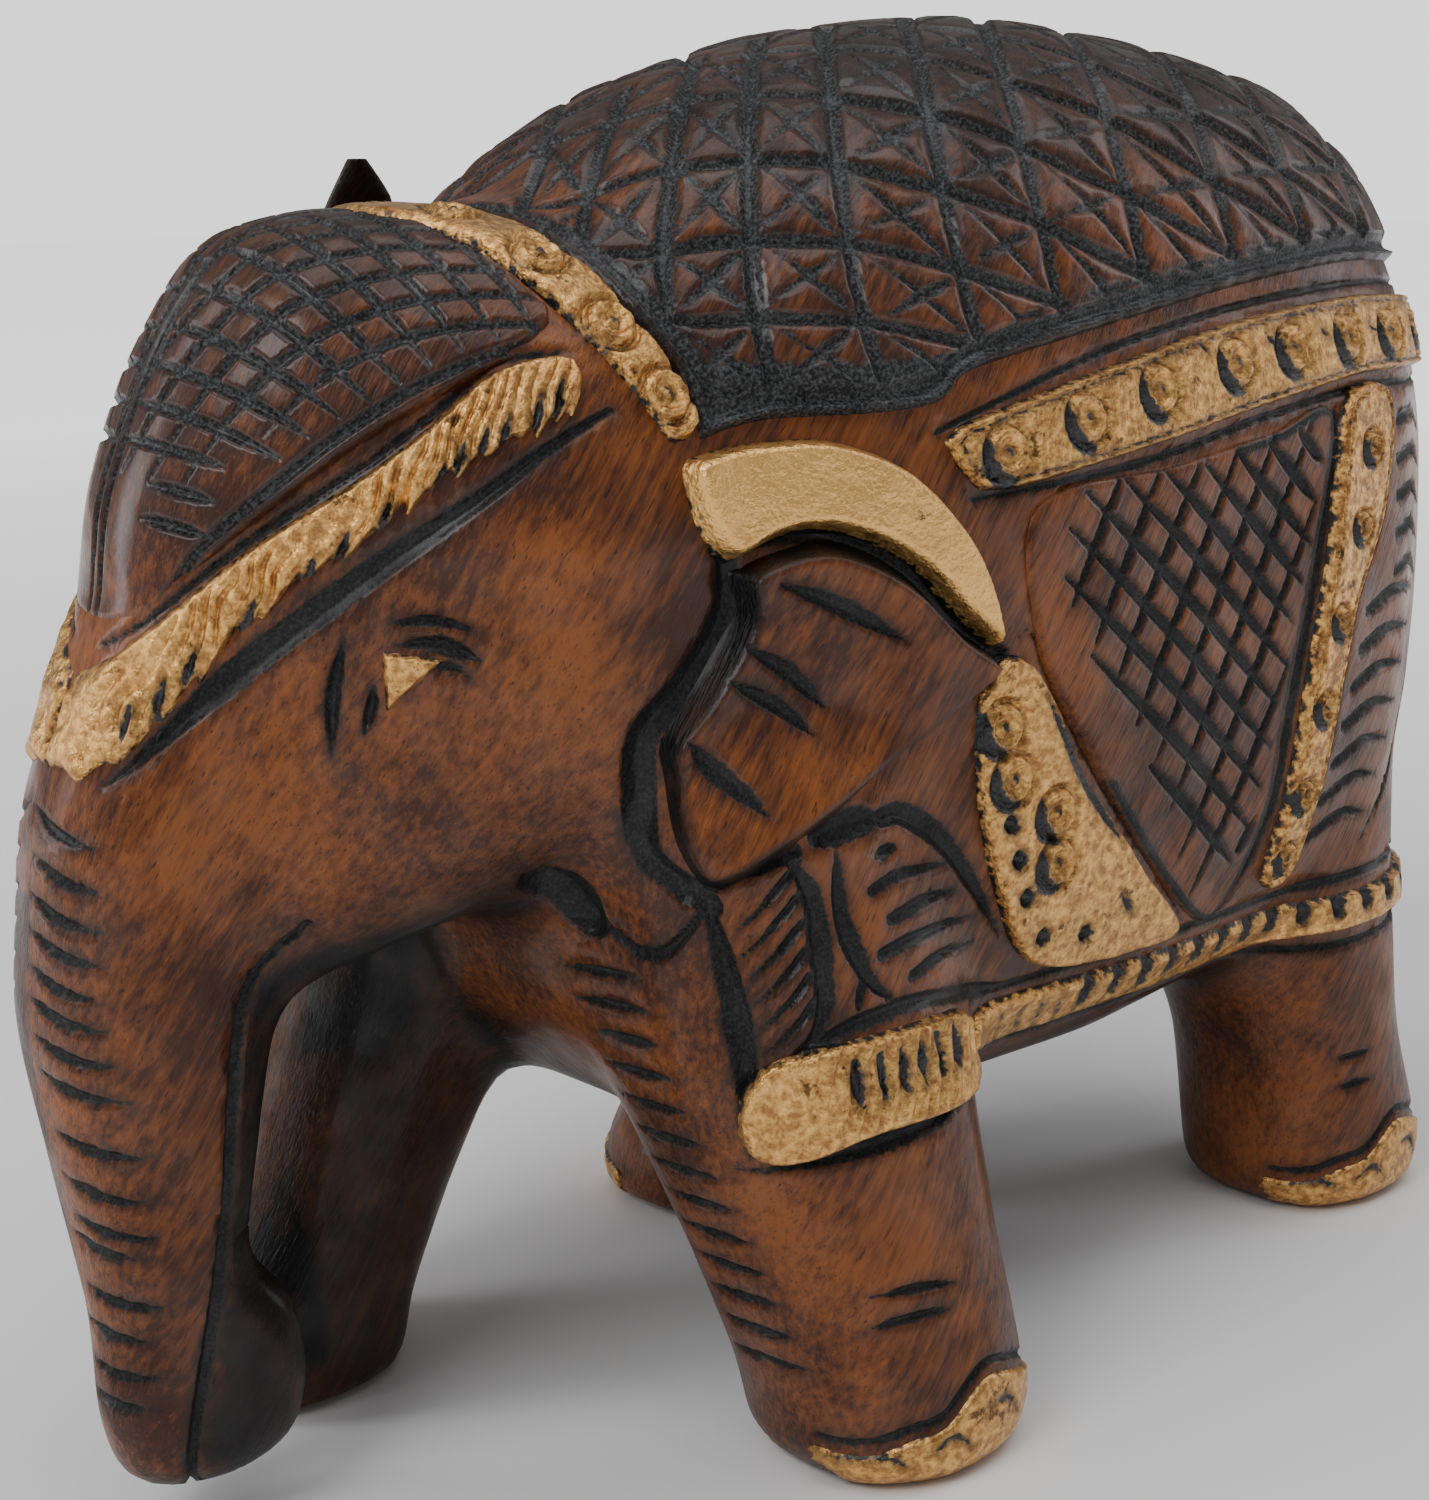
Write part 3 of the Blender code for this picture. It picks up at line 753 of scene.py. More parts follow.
def relief(
    name, node, chart, window, step, outline, lift, coat, slot, worked=None, *,
    rounding=0.45, trim=None, sharp=False, fray=None, fade=None, thin=0.75, dark_rim=1.0, darker_at=None,
):
    """A patch of the smooth block, raised inside the outline and sunk into the block around it.

    worked(points, flat, within) gives the extra height and the distance to the nearest cut's edge.
    fray(flat) eats into the outline, trim(points) gives a second distance to its edge, and fade(flat)
    is a share of the lift.
    """
    (a0, a1), (b0, b1) = window
    columns, rows = ceil((a1 - a0) / step[0]), ceil((b1 - b0) / step[1])
    bm = bmesh.new()
    bmesh.ops.create_grid(bm, x_segments=columns, y_segments=rows, size=0.5)
    missed = []
    for v in bm.verts:
        hit = chart.hit(a0 + (v.co.x + 0.5) * (a1 - a0), b0 + (v.co.y + 0.5) * (b1 - b0))
        if hit is None:
            missed.append(v)
        else:
            v.co = hit
    bmesh.ops.delete(bm, geom=missed, context="VERTS")

    def distance_within(points):
        flat = chart.flat(points)
        found = inside(outline, flat, sharp)
        if fray:
            found = found - fray(flat)
        return found if trim is None else np.minimum(found, trim(points))

    beyond = distance_within(coordinates(bm)) < -SKIRT
    bmesh.ops.delete(bm, geom=[v for v, out in zip(bm.verts, beyond) if out], context="VERTS")
    torn = [f for f in bm.faces if max(e.calc_length() for e in f.edges) > LONGEST]
    bmesh.ops.delete(bm, geom=torn, context="FACES")
    bmesh.ops.delete(bm, geom=[v for v in bm.verts if not v.link_faces], context="VERTS")
    soften(bm, 4, 0.5)
    points, facing = coordinates(bm), normals(bm)
    outward = -chart.ray((a0 + a1) / 2, (b0 + b1) / 2)[1]
    if (facing @ np.array(outward)).mean() < 0:
        bmesh.ops.reverse_faces(bm, faces=bm.faces)
        facing = -facing
    flat, within = chart.flat(points), distance_within(points)
    share = fade(flat) if fade else 1
    height = -SUNK + (lift * share + SUNK) * past(within, -RISE, RISE + rounding)
    edge = np.full(len(points), NOT_CUT)
    if worked:
        extra, edge = worked(points, flat, within)
        height = height + extra * past(within, -0.2, 0.5)
    place(bm, points + facing * height[:, None])
    # Darker along the relief's edge and wall: black stain, with painted shade along the standing edge.
    dark = dark_rim * past(within, max(0.9, rounding + 0.5), -1.1)
    record_on(bm, "cut", edge)
    record_on(bm, "within", within)
    record_on(bm, "stain_and_shade", np.maximum(dark, darker_at(points)) if darker_at else dark)
    record_on(bm, "thin", np.full(len(points), thin))
    close_underneath(bm)
    to_object(name, node, bm, coat)


def close_underneath(bm):
    """Turns the open patch into a closed solid, with a face inside the block under it."""
    bm.normal_update()
    rim = [e for e in bm.edges if e.is_boundary]
    normal_at = {v.co.copy().freeze(): v.normal.copy() for e in rim for v in e.verts}
    made = bmesh.ops.extrude_edge_only(bm, edges=rim)["geom"]
    low = [v for v in made if isinstance(v, bmesh.types.BMVert)]
    middle = sum((v.co for v in low), Vector()) / len(low)
    for v in low:
        v.co += (middle - v.co).normalized() * 0.3 - normal_at[v.co.copy().freeze()] * UNDERSIDE
    bmesh.ops.holes_fill(bm, edges=[e for e in bm.edges if e.is_boundary])
    bmesh.ops.triangulate(bm, faces=[f for f in bm.faces if len(f.verts) > 4])
    bmesh.ops.recalc_face_normals(bm, faces=bm.faces)


# ---- saddlecloth

# The lattice: crossing lines in mm along the back at the cloth's edge, lengthwise lines at its middle.
ACROSS_LINES = [-56, -47, -38, -30, -21, -10, 0.5, 13, 27, 40, 53, 66, 79, 92, 105]
ALONG_LINES = [-97.3 + 16.4 * i for i in range(14)]
EDGE_ANGLE = 45
BOW, LEAN = 0.0125, 0.8  # in mm to the square degree, and mm to the degree
BOW_SLOPE, LEAN_SLOPE = 0.0287, 0.92  # the same in mm to the mm, on the cloth
CROSSES = (((0.12, 0.14), (0.9, 0.88)), ((0.1, 0.9), (0.9, 0.08)))


def across(along, down):
    """Which crossing line a place on the barrel lies on."""
    return along - BOW * (EDGE_ANGLE - np.abs(down)) ** 2


def lengthwise(along, down):
    """Which lengthwise line it lies on."""
    return along - LEAN * np.abs(down) - BOW * down**2


def lattice_place(a, b):
    """Where crossing line a meets lengthwise line b, on the left side."""
    down = (a - b + BOW * EDGE_ANGLE**2) / (LEAN + 2 * BOW * EDGE_ANGLE)
    return b + LEAN * down + BOW * down**2, down


def lattice_crosses():
    """The small crossed cuts in the lattice's cells, none quite like the next."""
    chart, rng, cuts = barrel_chart(), random.Random(7), []

    def line(values, share):
        i = min(int(share), len(values) - 2)
        return values[i] + (values[i + 1] - values[i]) * (share - i)

    for side in SIDES.values():
        for i in range(len(ACROSS_LINES) - 1):
            for j in range(len(ALONG_LINES) - 1):
                for cross in CROSSES:
                    ends = []
                    for a, b in cross:
                        place_a = line(ACROSS_LINES, i + a + rng.uniform(-0.05, 0.05))
                        place_b = line(ALONG_LINES, j + b + rng.uniform(-0.05, 0.05))
                        ends.append(lattice_place(place_a, place_b))
                    width = rng.uniform(0.85, 1.35)
                    if all(1 < down < 62 and -50 < along < 104 for along, down in ends):
                        points = [(along, -side * down) for along, down in ends]
                        cuts.append(Cut(chart, points, width, NEEDLE, 0.6, 1.6))
    return cuts


def behind_collar(points):
    """How far a point is behind the neck band's rear edge, in mm."""
    x, z = in_head(points).T
    return (x - along_line([(z, x) for x, z in COLLAR_REAR], z) - 1) * 0.8


def back_cloth():
    cuts = lattice_crosses()

    def worked(points, flat, within):
        along, down = on_barrel(points)
        edge, depth = carve(points, cuts)
        wander = 0.35 * waviness(points, 6)
        steep_a = np.hypot(1, BOW_SLOPE * (EDGE_ANGLE - np.abs(down)))
        steep_b = np.hypot(1, LEAN_SLOPE + BOW_SLOPE * np.abs(down))
        gap_a = np.abs(across(along, down)[:, None] - ACROSS_LINES).min(1) / steep_a - 0.82
        gap_b = np.abs(lengthwise(along, down)[:, None] - ALONG_LINES).min(1) / steep_b - 0.72
        line = np.where(within < 2.2, NOT_CUT, np.minimum(gap_a, gap_b) + wander * 0.4)
        border = np.abs(within - 1.3) - 0.95 + wander * 0.3
        line = np.minimum(line, border)
        groove = 0.95 * np.clip(-line / 0.8, 0, 1) ** 0.7
        pillow = 0.16 * past(line, 0, 1.2)
        depth = np.maximum(depth * (line > 0.15), groove)
        edge = np.minimum(np.where(line > 0.1, edge, NOT_CUT), line)
        plain = np.maximum(flat[:, 0] + 9, flat[:, 1] - 101.3) * 0.5 + wander
        return pillow - depth + 0.08 * waviness(points, 3), np.minimum(edge, plain)

    relief(
        "saddlecloth", "back_cloth", barrel_chart(), ((-56, 104), (-66, 66)), (0.42, 0.5), CLOTH_EDGE,
        carving().cloth_lift / MM, "blackened wood", "stained_wood", worked, trim=behind_collar,
        # Darker towards the top.
        darker_at=lambda p: 0.7 * past(p[:, 2] + 3 * waviness(p, 9), 106, 20),
    )


# ---- hatched panels and cap


def hatching(chart, family, width):
    """Long strokes, kept to the hatched part of a side panel."""
    cuts = []
    for points in family:
        flat = curve_through(points)
        good = inside(HATCHED, flat) > 0
        turns = np.flatnonzero(np.diff(good.astype(int))) + 1
        for kept, run in zip(np.split(good, turns), np.split(flat, turns)):
            if kept[0] and len(run) > 3:
                every = max(1, len(run) // 6)
                cuts.append(Cut(chart, [*run[::every], run[-1]], width, LONG_LENS))
    return cuts


def side_panel(word, side):
    chart = side_chart(side)
    falling = [[(-10, z + 7.5), (15, z - 12), (45, z - 37)] for z in (70 + 4.9 * i for i in range(12))]
    leaning = [
        [(x + 3, 94), (x - 3.5, 84), (x - 12, 70), (x - 22, 52), (x - 27, 42)]
        for x in (1 + 5.7 * i for i in range(11))
    ]
    cuts = hatching(chart, falling, 1.6) + hatching(chart, leaning, 1.35)

    def worked(points, flat, within):
        edge, depth = carve(points, cuts)
        unlined = past(flat[:, 0], 24, -2) * past(flat[:, 1], 60, 2)
        lined = np.abs(within - 0.7) - 0.45 + 2 * unlined
        return 0.1 * waviness(points, 4) - depth, np.minimum(edge, lined)

    relief(
        f"side_panel_{word}_carved", f"side_panel_{word}", chart, ((-7, 44), (39, 95)), (0.33, 0.33),
        SIDE_PANEL, 0.5, "oiled wood", "stained_wood", worked, dark_rim=0.0,
    )


def cap_lines():
    """The cap's cuts on one side: (points, width, shape, depth), in degrees forward and down."""
    rows = []
    for i in range(14):
        forward, back = 69 - 6.6 * i, 0.12 * i
        start = 12 if i < 2 else 2.5
        reach = 25 if i < 3 else min(41, 27 + 2.2 * i)
        middle = (forward - back * 1.5, (start + reach) / 2)
        points = [(forward + back, start), middle, (forward - back * 6, reach)]
        rows.append((points, 1.15, (0.4, 1, 1, 0.9, 0.3), 0.65))
    for j in range(7):
        places = (45, 28, 10, -8, -24) if j == 0 else (62, 45, 28, 10, -8, -24)
        points = [(f, max(2.2, 36 - 5.5 * j - (0.2 + 0.03 * j) * (f - 10))) for f in places]
        rows.append((points, 1.0, (0.3, 0.9, 1, 0.9, 0.3), 0.6))
    rows.append(([(26, 0.9), (45, 1.3), (65, 1.6), (88, 1.7)], 1.0, EVEN, 0.7))
    hem = [(f, along_line(CAP_EDGE, f) - 1.6) for f in (-12, 10, 30, 48, 62, 74, 86)]
    rows.append((hem, 1.1, EVEN, 0.6))
    return rows


def forehead_cap():
    chart = skull_chart()
    cuts = [
        Cut(chart, [(forward, -side * down) for forward, down in points], width, shape, depth, 2.0)
        for side, points, width, shape, depth in on_both_sides(cap_lines())
    ]

    def worked(points, flat, within):
        edge, depth = carve(points, cuts)
        return 0.1 * waviness(points, 4) - depth, edge

    relief(
        "forehead_cap_carved", "forehead_cap", chart, ((-32, 104), (-60, 60)), (0.5, 0.45), CAP, 0.9,
        "blackened wood", "stained_wood", worked, rounding=0.7, dark_rim=0.0,
        # Darker towards the top.
        darker_at=lambda p: 0.6 * past(p[:, 2] + 3 * waviness(p, 7), 100, 14),
        fade=lambda flat: 0.1 + 0.9 * past(flat[:, 1], 82, 12),
    )


# ---- gilded pieces

SHADOW_SIDE = np.array((-0.8, 0, -0.6))  # the side of a ring punch where a painted shadow lies, as a black crescent


def rosettes(points, centres, radius, shadow):
    """Ring punches: (extra height, distance to the nearest dark cut) for rosettes of that radius, each ring
    widening into a painted shadow crescent on one side.
    """
    height, edge = np.zeros(len(points)), np.full(len(points), NOT_CUT)
    for centre in centres:
        away = points - np.array(centre)
        r = np.linalg.norm(away, axis=1)
        near = r < radius * 1.3
        share = r[near] / radius
        ring = 0.32 * np.cos(share * 3 * pi) * (share < 1) - 0.45 * np.exp(-(((share - 1) / 0.13) ** 2))
        rough = 0.07 * np.sin(np.arctan2(away[near, 2], away[near, 0]) * 11 + share * 9) * (share < 0.95)
        height[near] += ring + rough
        lean = (away[near] @ SHADOW_SIDE) / np.maximum(r[near], 0.01)
        # Painted shadow: the black ring grows into a crescent up to shadow mm wide on the shadow side.
        shadow_crescent = np.abs(share - 0.98) * radius - shadow * np.clip(lean, 0, 1) ** 0.7 + 0.12
        pit = (share - 0.22) * radius + 0.25 * (lean > 0.2)
        edge[near] = np.minimum(edge[near], np.minimum(shadow_crescent, pit))
    return height, edge


def comb(spacing, depth, direction):
    """Fine ridges across a fringe, spaced in mm along a flat direction."""
    towards = np.array(direction, float) / np.linalg.norm(direction)

    def height(points, flat, within):
        run = flat @ towards + 0.5 * waviness(points, 5) + 0.4 * waviness(points, 1.6, 2)
        uneven = 0.62 + 0.38 * waviness(points, 2.4, 5)
        return depth * uneven * (2 * np.abs(np.sin(run * pi / spacing)) ** 0.7 - 1) * past(within, 0, 0.9)

    return height


def gild(
    node, chart, window, step, outline, *,
    cuts=(), centres=(), radius=3.0, shadow=1.05, lines=(), ridges=None, lift=None, **more,
):
    """A gilded relief with cuts, rosettes, ridges, and lines inside its edge as (inset, width, stained)."""

    def worked(points, flat, within):
        edge, depth = carve(points, cuts)
        height, dark = rosettes(points, centres, radius, shadow)
        edge = np.minimum(edge, dark)
        extra = height - depth + 0.1 * waviness(points, 2.2) + 0.05 * waviness(points, 0.8, 4)
        for inset, width, stained in lines:
            line = np.abs(within - inset) - width / 2
            extra = extra - 0.35 * (line < 0)
            if stained:
                edge = np.minimum(edge, line)
        return extra + (ridges(points, flat, within) if ridges else 0), edge

    lift = carving().gilt_lift / MM if lift is None else lift
    relief(
        f"{node}_gilt", node, chart, window, step, outline, lift, "bright gold", "gold_paint", worked, **more
    )


def flank_band(word, side):
    places = [
        (-8.3, 92.4), (1.9, 94.6), (12.4, 96.4), (24.4, 98), (34, 98.8), (44.4, 99.2), (54, 99.2),
        (63, 98.6), (71, 97.4),
    ]
    chart = side_chart(side)
    gild(
        f"flank_band_{word}", barrel_chart(), ((-17, 122), (8, 100) if side == LEFT else (-100, -8)),
        (0.42, 0.38), FLANK_BAND,
        cuts=[Cut(chart, [(x, 100.6), (x + 1.5, 99.3)], 0.7) for x in (-3, 7, 18.5, 29.5, 39, 49)],
        centres=on_seat(chart, places) + on_seat(rear_chart(), [(side * y, 96) for y in (9, 18)]), radius=2.7,
        lines=[(0.75, 0.3, True)], trim=lambda p: np.abs(p[:, 1]) - 3.6,
    )


def rosette_drop(word, side):
    chart = side_chart(side)
    holes = [(-8.3, 58.9), (-6.9, 55.2), (-5.3, 51.2), (-2, 46.6), (4.4, 45.4)]
    cuts = [Cut(chart, [(x, z), (x + 0.3, z - 0.3)], 1.9, (1, 1), 1.1, 0.2) for x, z in holes]
    cuts.append(Cut(chart, [(-4.6, 70.4), (2, 60.4), (7.6, 54)], 1.5))
    cuts.append(Cut(chart, [(8.6, 48.8), (11.4, 45.8)], 0.9))
    centres = on_seat(chart, [(-9.6, 68), (-8.2, 63), (-2.2, 58.8), (-1.6, 53.8)])
    gild(
        f"rosette_drop_{word}", chart, ((-14, 24), (38, 77)), (0.27, 0.27), ROSETTE_DROP,
        cuts=cuts, centres=centres, radius=2.55,
    )


def rear_strap(word, side):
    chart = side_chart(side)
    studs = on_seat(chart, [(47.6, 88), (45.6, 80), (42, 70.6), (40, 61.8), (38, 52.8), (37.4, 46)])
    gild(
        f"rear_strap_{word}", chart, ((32, 56), (40, 97)), (0.3, 0.3), REAR_STRAP,
        centres=studs, radius=1.9, lines=[(0.9, 0.3, False)], thin=1.0,
    )


def hem_border(word, side):
    chart = side_chart(side)
    notches = [8 + 4.6 * i for i in range(14)]
    cuts = [Cut(chart, [(x, 38.9), (x + 0.3, 37.2)], 2.1, (0.9, 1, 0.9), 1.1, 0.4) for x in notches]
    cuts += [Cut(chart, [(x, 39.2), (x + 0.8, 35.6)], 0.5, depth=0.3) for x in (-5, -2, 1, 4)]
    gild(f"hem_border_{word}", chart, ((-12, 79), (31.5, 44)), (0.32, 0.27), HEM_BORDER, cuts=cuts)


def foreleg_fringe(word, side):
    chart, shin = side_chart(side), SHIN_X[f"fore_{word}"]
    gaps = [shin + x for x in (-6.2, -3.6, -1.2, 1.2, 3.6, 6.2)]
    gild(
        f"foreleg_fringe_{word}", chart, ((shin - 17, shin + 15), (30, 47)), (0.27, 0.27),
        [(shin + x, z) for x, z in FRINGE],
        cuts=[Cut(chart, [(x, 42), (x + 0.4, 38.2)], 1.25, (0.7, 1, 1, 0.6), 0.9, 0.6) for x in gaps],
        ridges=comb(1.7, 0.34, (1, -0.2)),
    )


def toe_cap(leg):
    foot_x, foot_y = FEET[leg]
    side = LEFT if foot_y < 0 else RIGHT
    chart = side_chart(side)
    nails = [
        [(-12, 4), (-9.5, 4.9), (-7, 3.2)],
        [(-6, 4.6), (-3.6, 5.8), (-1.2, 3.8)],
        [(1, 7.2), (3.6, 7), (5.4, 4.6)],
    ]
    gild(
        f"toe_cap_{leg}", chart, ((foot_x - 19, foot_x + 15), (0.2, 13)), (0.3, 0.3),
        [(foot_x + x, z) for x, z in TOE_CAP],
        cuts=[Cut(chart, [(foot_x + x, z) for x, z in nail], 0.7, LENS, 0.4, 0.5) for nail in nails],
        lift=0.5, trim=lambda p: side * p[:, 1] - abs(foot_y) + 8,
    )


def neck_band():
    centres = []
    for side in SIDES.values():
        centres += on_seat(cheek_chart(side), [(-46, 113.2), (-43.2, 110), (-40.4, 104.8), (-37.6, 99.2)])
    gild(
        "neck_band", skull_chart(), ((-66, 12), (-66, 66)), (0.45, 0.4), NECK_BAND,
        centres=centres, radius=2.5, shadow=0.3, thin=0.8, fray=lambda flat: -0.45,
    )


BROW_RUN = (0.91, -0.41)  # the way the brow band runs, in the head's x and z


def brow_band(word, side):
    notches = [
        (-47.4, 99.6), (-49.2, 98.6), (-52, 97), (-53.6, 96.4), (-55.4, 95.4), (-57, 93.8), (-61, 91),
        (-64, 88.6), (-66.4, 86.6), (-70.4, 83.4), (-74.6, 79.4), (-76.8, 77), (-79, 75),
    ]

    def ragged(flat):
        run = flat @ np.array(BROW_RUN)
        teeth = np.sin(run * 3.4 + 1.5 * np.sin(run * 0.9)) * np.sin(run * 1.3 + 1)
        below = past(along_line(BROW_LOW, flat[:, 0]) - flat[:, 1], 0, 1.2)
        return below * (0.2 + 0.5 * teeth) - 0.6

    gild(
        f"brow_band_{word}", skull_chart(), ((-28, 118), (-1, 62) if side == LEFT else (-62, 1)),
        (0.4, 0.28), BROW_BAND,
        cuts=[Cut(cheek_chart(side), [(x + 1.1, z + 1.4), (x - 0.2, z - 1.8)], 0.95) for x, z in notches],
        ridges=comb(0.95, 0.36, BROW_RUN), lift=0.7, fray=ragged,
        trim=lambda p: side * unturned(p)[:, 1] - 0.4,
    )


def eye(word, side):
    gild(f"eye_{word}", cheek_chart(side), ((-64, -54), (72, 83)), (0.17, 0.17), EYE, lift=0.6, sharp=True)


# ---- ears and tail

EAR_GOUGES = [
    [(-32.6, 83.6), (-27.4, 81.2), (-21.4, 77.6)],
    [(-35.6, 78.4), (-32, 76), (-29, 72.4)],
    [(-37.2, 75.6), (-33.5, 73.2), (-30.5, 70)],
    [(-40.8, 71.2), (-38.3, 67.4), (-35.9, 63.8)],
]
GOUGE_HALF, GOUGE_DEPTH = 0.95, 0.75
DISH_DEPTH, DISH_RADIUS = 0.9, 11


def ear(word, side):
    middle = np.mean(EAR, axis=0)

    def worked(points, flat, within):
        gap, depth = np.full(len(points), NOT_CUT), np.zeros(len(points))
        for gouge in EAR_GOUGES:
            line = curve_through(gouge, 0.5)
            distance, t = to_segments(flat, line[:-1], line[1:])
            share = (np.arange(len(line) - 1) + t) / (len(line) - 1)
            half = GOUGE_HALF * np.interp(share, np.linspace(0, 1, len(LENS)), LENS)
            inner = distance - half
            pick = np.arange(len(flat)), inner.argmin(1)
            gap = np.minimum(gap, inner[pick])
            sunk = GOUGE_DEPTH * carving().cut_depth * bowl(inner[pick], np.maximum(half[pick], 0.05))
            depth = np.maximum(depth, sunk)
        dish = DISH_DEPTH * np.exp(-(np.linalg.norm(flat - middle, axis=1) / DISH_RADIUS) ** 2)
        return -dish - depth + 0.12 * waviness(points, 5), gap

    relief(
        f"ear_{word}_carved", f"ear_{word}", side_chart(side), ((-45, -8), (55, 89)), (0.33, 0.33), EAR,
        carving().ear_lift / MM, "oiled wood", "lacquered_wood", worked, rounding=1.3,
    )


def ear_rim(word, side):
    gild(
        f"ear_rim_{word}", side_chart(side), ((-43, -7), (72, 98)), (0.3, 0.3), EAR_RIM,
        lift=2.3, rounding=0.9, fray=lambda flat: 0.25, thin=0.0,
    )


def ear_tip():
    """The far ear's pointed tip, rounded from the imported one."""
    bm = packed_node("ear_tip_right")
    bmesh.ops.triangulate(bm, faces=bm.faces)
    for _ in range(2):
        bmesh.ops.subdivide_edges(bm, edges=bm.edges, cuts=1, use_grid_fill=True)
        soften(bm, 1, 0.4)
    bmesh.ops.recalc_face_normals(bm, faces=bm.faces)
    record_on(bm, "cut", [NOT_CUT] * len(bm.verts))
    record_on(bm, "stain_and_shade", [0.8] * len(bm.verts))
    to_object("ear_tip_carved", "ear_tip_right", bm, "blackened wood")


def tail():
    chart = rear_chart()
    cuts = [Cut(chart, [(y, 60), (y * 1.3, 54), (y * 0.4, 47)], 0.5, LENS, 0.4) for y in (-1.4, 0, 1.4)]
    cuts += [Cut(chart, [(-2.6, z), (2.6, z)], 0.6, LENS, 0.35) for z in range(64, 96, 4)]

    def worked(points, flat, within):
        edge, depth = carve(points, cuts)
        return -depth, edge

    relief(
        "tail_carved", "tail", chart, ((-6, 6), (42, 101)), (0.3, 0.4), TAIL, 3.0,
        "oiled wood", "lacquered_wood", worked, rounding=1.5, dark_rim=0.6,
    )


# ------------------------------------------------------------------ finishes


class Recipe:
    """A material, mixed node by node."""

    def __init__(self, name):
        self.material = bpy.data.materials.new(name)
        self.material.use_nodes = True
        self.tree = self.material.node_tree
        self.shader = self.tree.nodes["Principled BSDF"]
        self.place = self.put("ShaderNodeTexCoord").outputs["Object"]

    def put(self, kind, inputs=None, **settings):
        node = self.tree.nodes.new(kind)
        for key, value in settings.items():
            setattr(node, key, value)
        for key, value in (inputs or {}).items():
            if isinstance(value, bpy.types.NodeSocket):
                self.tree.links.new(value, node.inputs[key])
            else:
                node.inputs[key].default_value = value
        return node

    def noise(self, size, detail=2.0, vector=None, roughness=0.5):
        """Unevenness about that many mm across, from 0 to 1."""
        inputs = {"Vector": vector or self.place, "Scale": 1 / (size * MM)}
        inputs |= {"Detail": detail, "Roughness": roughness}
        return self.put("ShaderNodeTexNoise", inputs).outputs[0]

    def grain(self, wide, long, detail, roughness=0.5):
        """Noise stretched along the grain, which leans forward up the block."""
        turned = self.put("ShaderNodeMapping", {"Vector": self.place, "Rotation": (0, GRAIN_LEAN, 0)})
        scale = (1 / wide, 1 / wide, 1 / long)
        stretched = self.put("ShaderNodeMapping", {"Vector": turned.outputs[0], "Scale": scale})
        return self.noise(1, detail, stretched.outputs[0], roughness)

    def band(self, value, low, high, start=0.0, end=1.0):
        """start where value is low and below, end where it is high and above."""
        inputs = {"Value": value, "From Min": low, "From Max": high, "To Min": start, "To Max": end}
        return self.put("ShaderNodeMapRange", inputs).outputs["Result"]

    def maths(self, operation, a, b):
        return self.put("ShaderNodeMath", {0: a, 1: b}, operation=operation).outputs[0]

    def add(self, a, b):
        return self.maths("ADD", a, b)

    def times(self, a, b):
        return self.maths("MULTIPLY", a, b)

    def mix(self, factor, a, b):
        inputs = {0: factor, 6: rgba(a), 7: rgba(b)}
        return self.put("ShaderNodeMix", inputs, data_type="RGBA").outputs[2]

    def kept(self, name):
        """A value that the carving left on the piece."""
        return self.put("ShaderNodeAttribute", attribute_name=name).outputs["Fac"]

    def bumps(self, *heights):
        """(height socket, mm) one over the other."""
        normal = None
        for height, mm in heights:
            inputs = {"Height": height, "Strength": 1.0, "Distance": mm * MM}
            if normal:
                inputs["Normal"] = normal
            normal = self.put("ShaderNodeBump", inputs).outputs["Normal"]
        self.link("Normal", normal)

    def link(self, socket, value):
        self.tree.links.new(value, self.shader.inputs[socket])

    def set(self, socket, value):
        self.shader.inputs[socket].default_value = value


def rgba(colour):
    return colour if isinstance(colour, bpy.types.NodeSocket) else (*colour[:3], 1.0)


def shaded(colour, share):
    """That share of the colour's strength."""
    return [c * share for c in colour]


GRAIN_LEAN = -radians(36.9)
# Per wood: how much darker it is, the grey of the painted sheen in its cuts, and its thinnest and thickest
# lacquer.
WOODS = {
    "oiled wood": (0.0, (0.028, 0.028, 0.029), (0.12, 0.45)),
    "blackened wood": (0.05, (0.075, 0.077, 0.08), (0.2, 0.6)),
}
# The grey of the painted sheen in the gold's cuts.
GOLD_CUT_SHEEN = (0.03, 0.028, 0.026)


def stained_cuts(recipe, colour, cut, spill, grey):
    """Black stain in the cuts, speckled with a grey painted sheen, thinning out over a spill in mm beside
    them.
    """
    ragged = recipe.add(cut, recipe.band(recipe.noise(0.7, 3), 0.3, 0.7, -0.16, 0.16))
    # Painted sheen: grey speckles in the black of the cuts.
    black = recipe.mix(recipe.band(recipe.noise(0.32, 3), 0.42, 0.72), finishes().stain, grey)
    patchy = recipe.band(recipe.noise(2.5), 0.3, 0.65, 0.35, 1)
    beside = recipe.times(recipe.band(ragged, 0.0, spill, 0.62, 0.0), patchy)
    colour = recipe.mix(beside, colour, finishes().stain)
    return recipe.mix(recipe.band(ragged, 0.02, -0.14), colour, black)


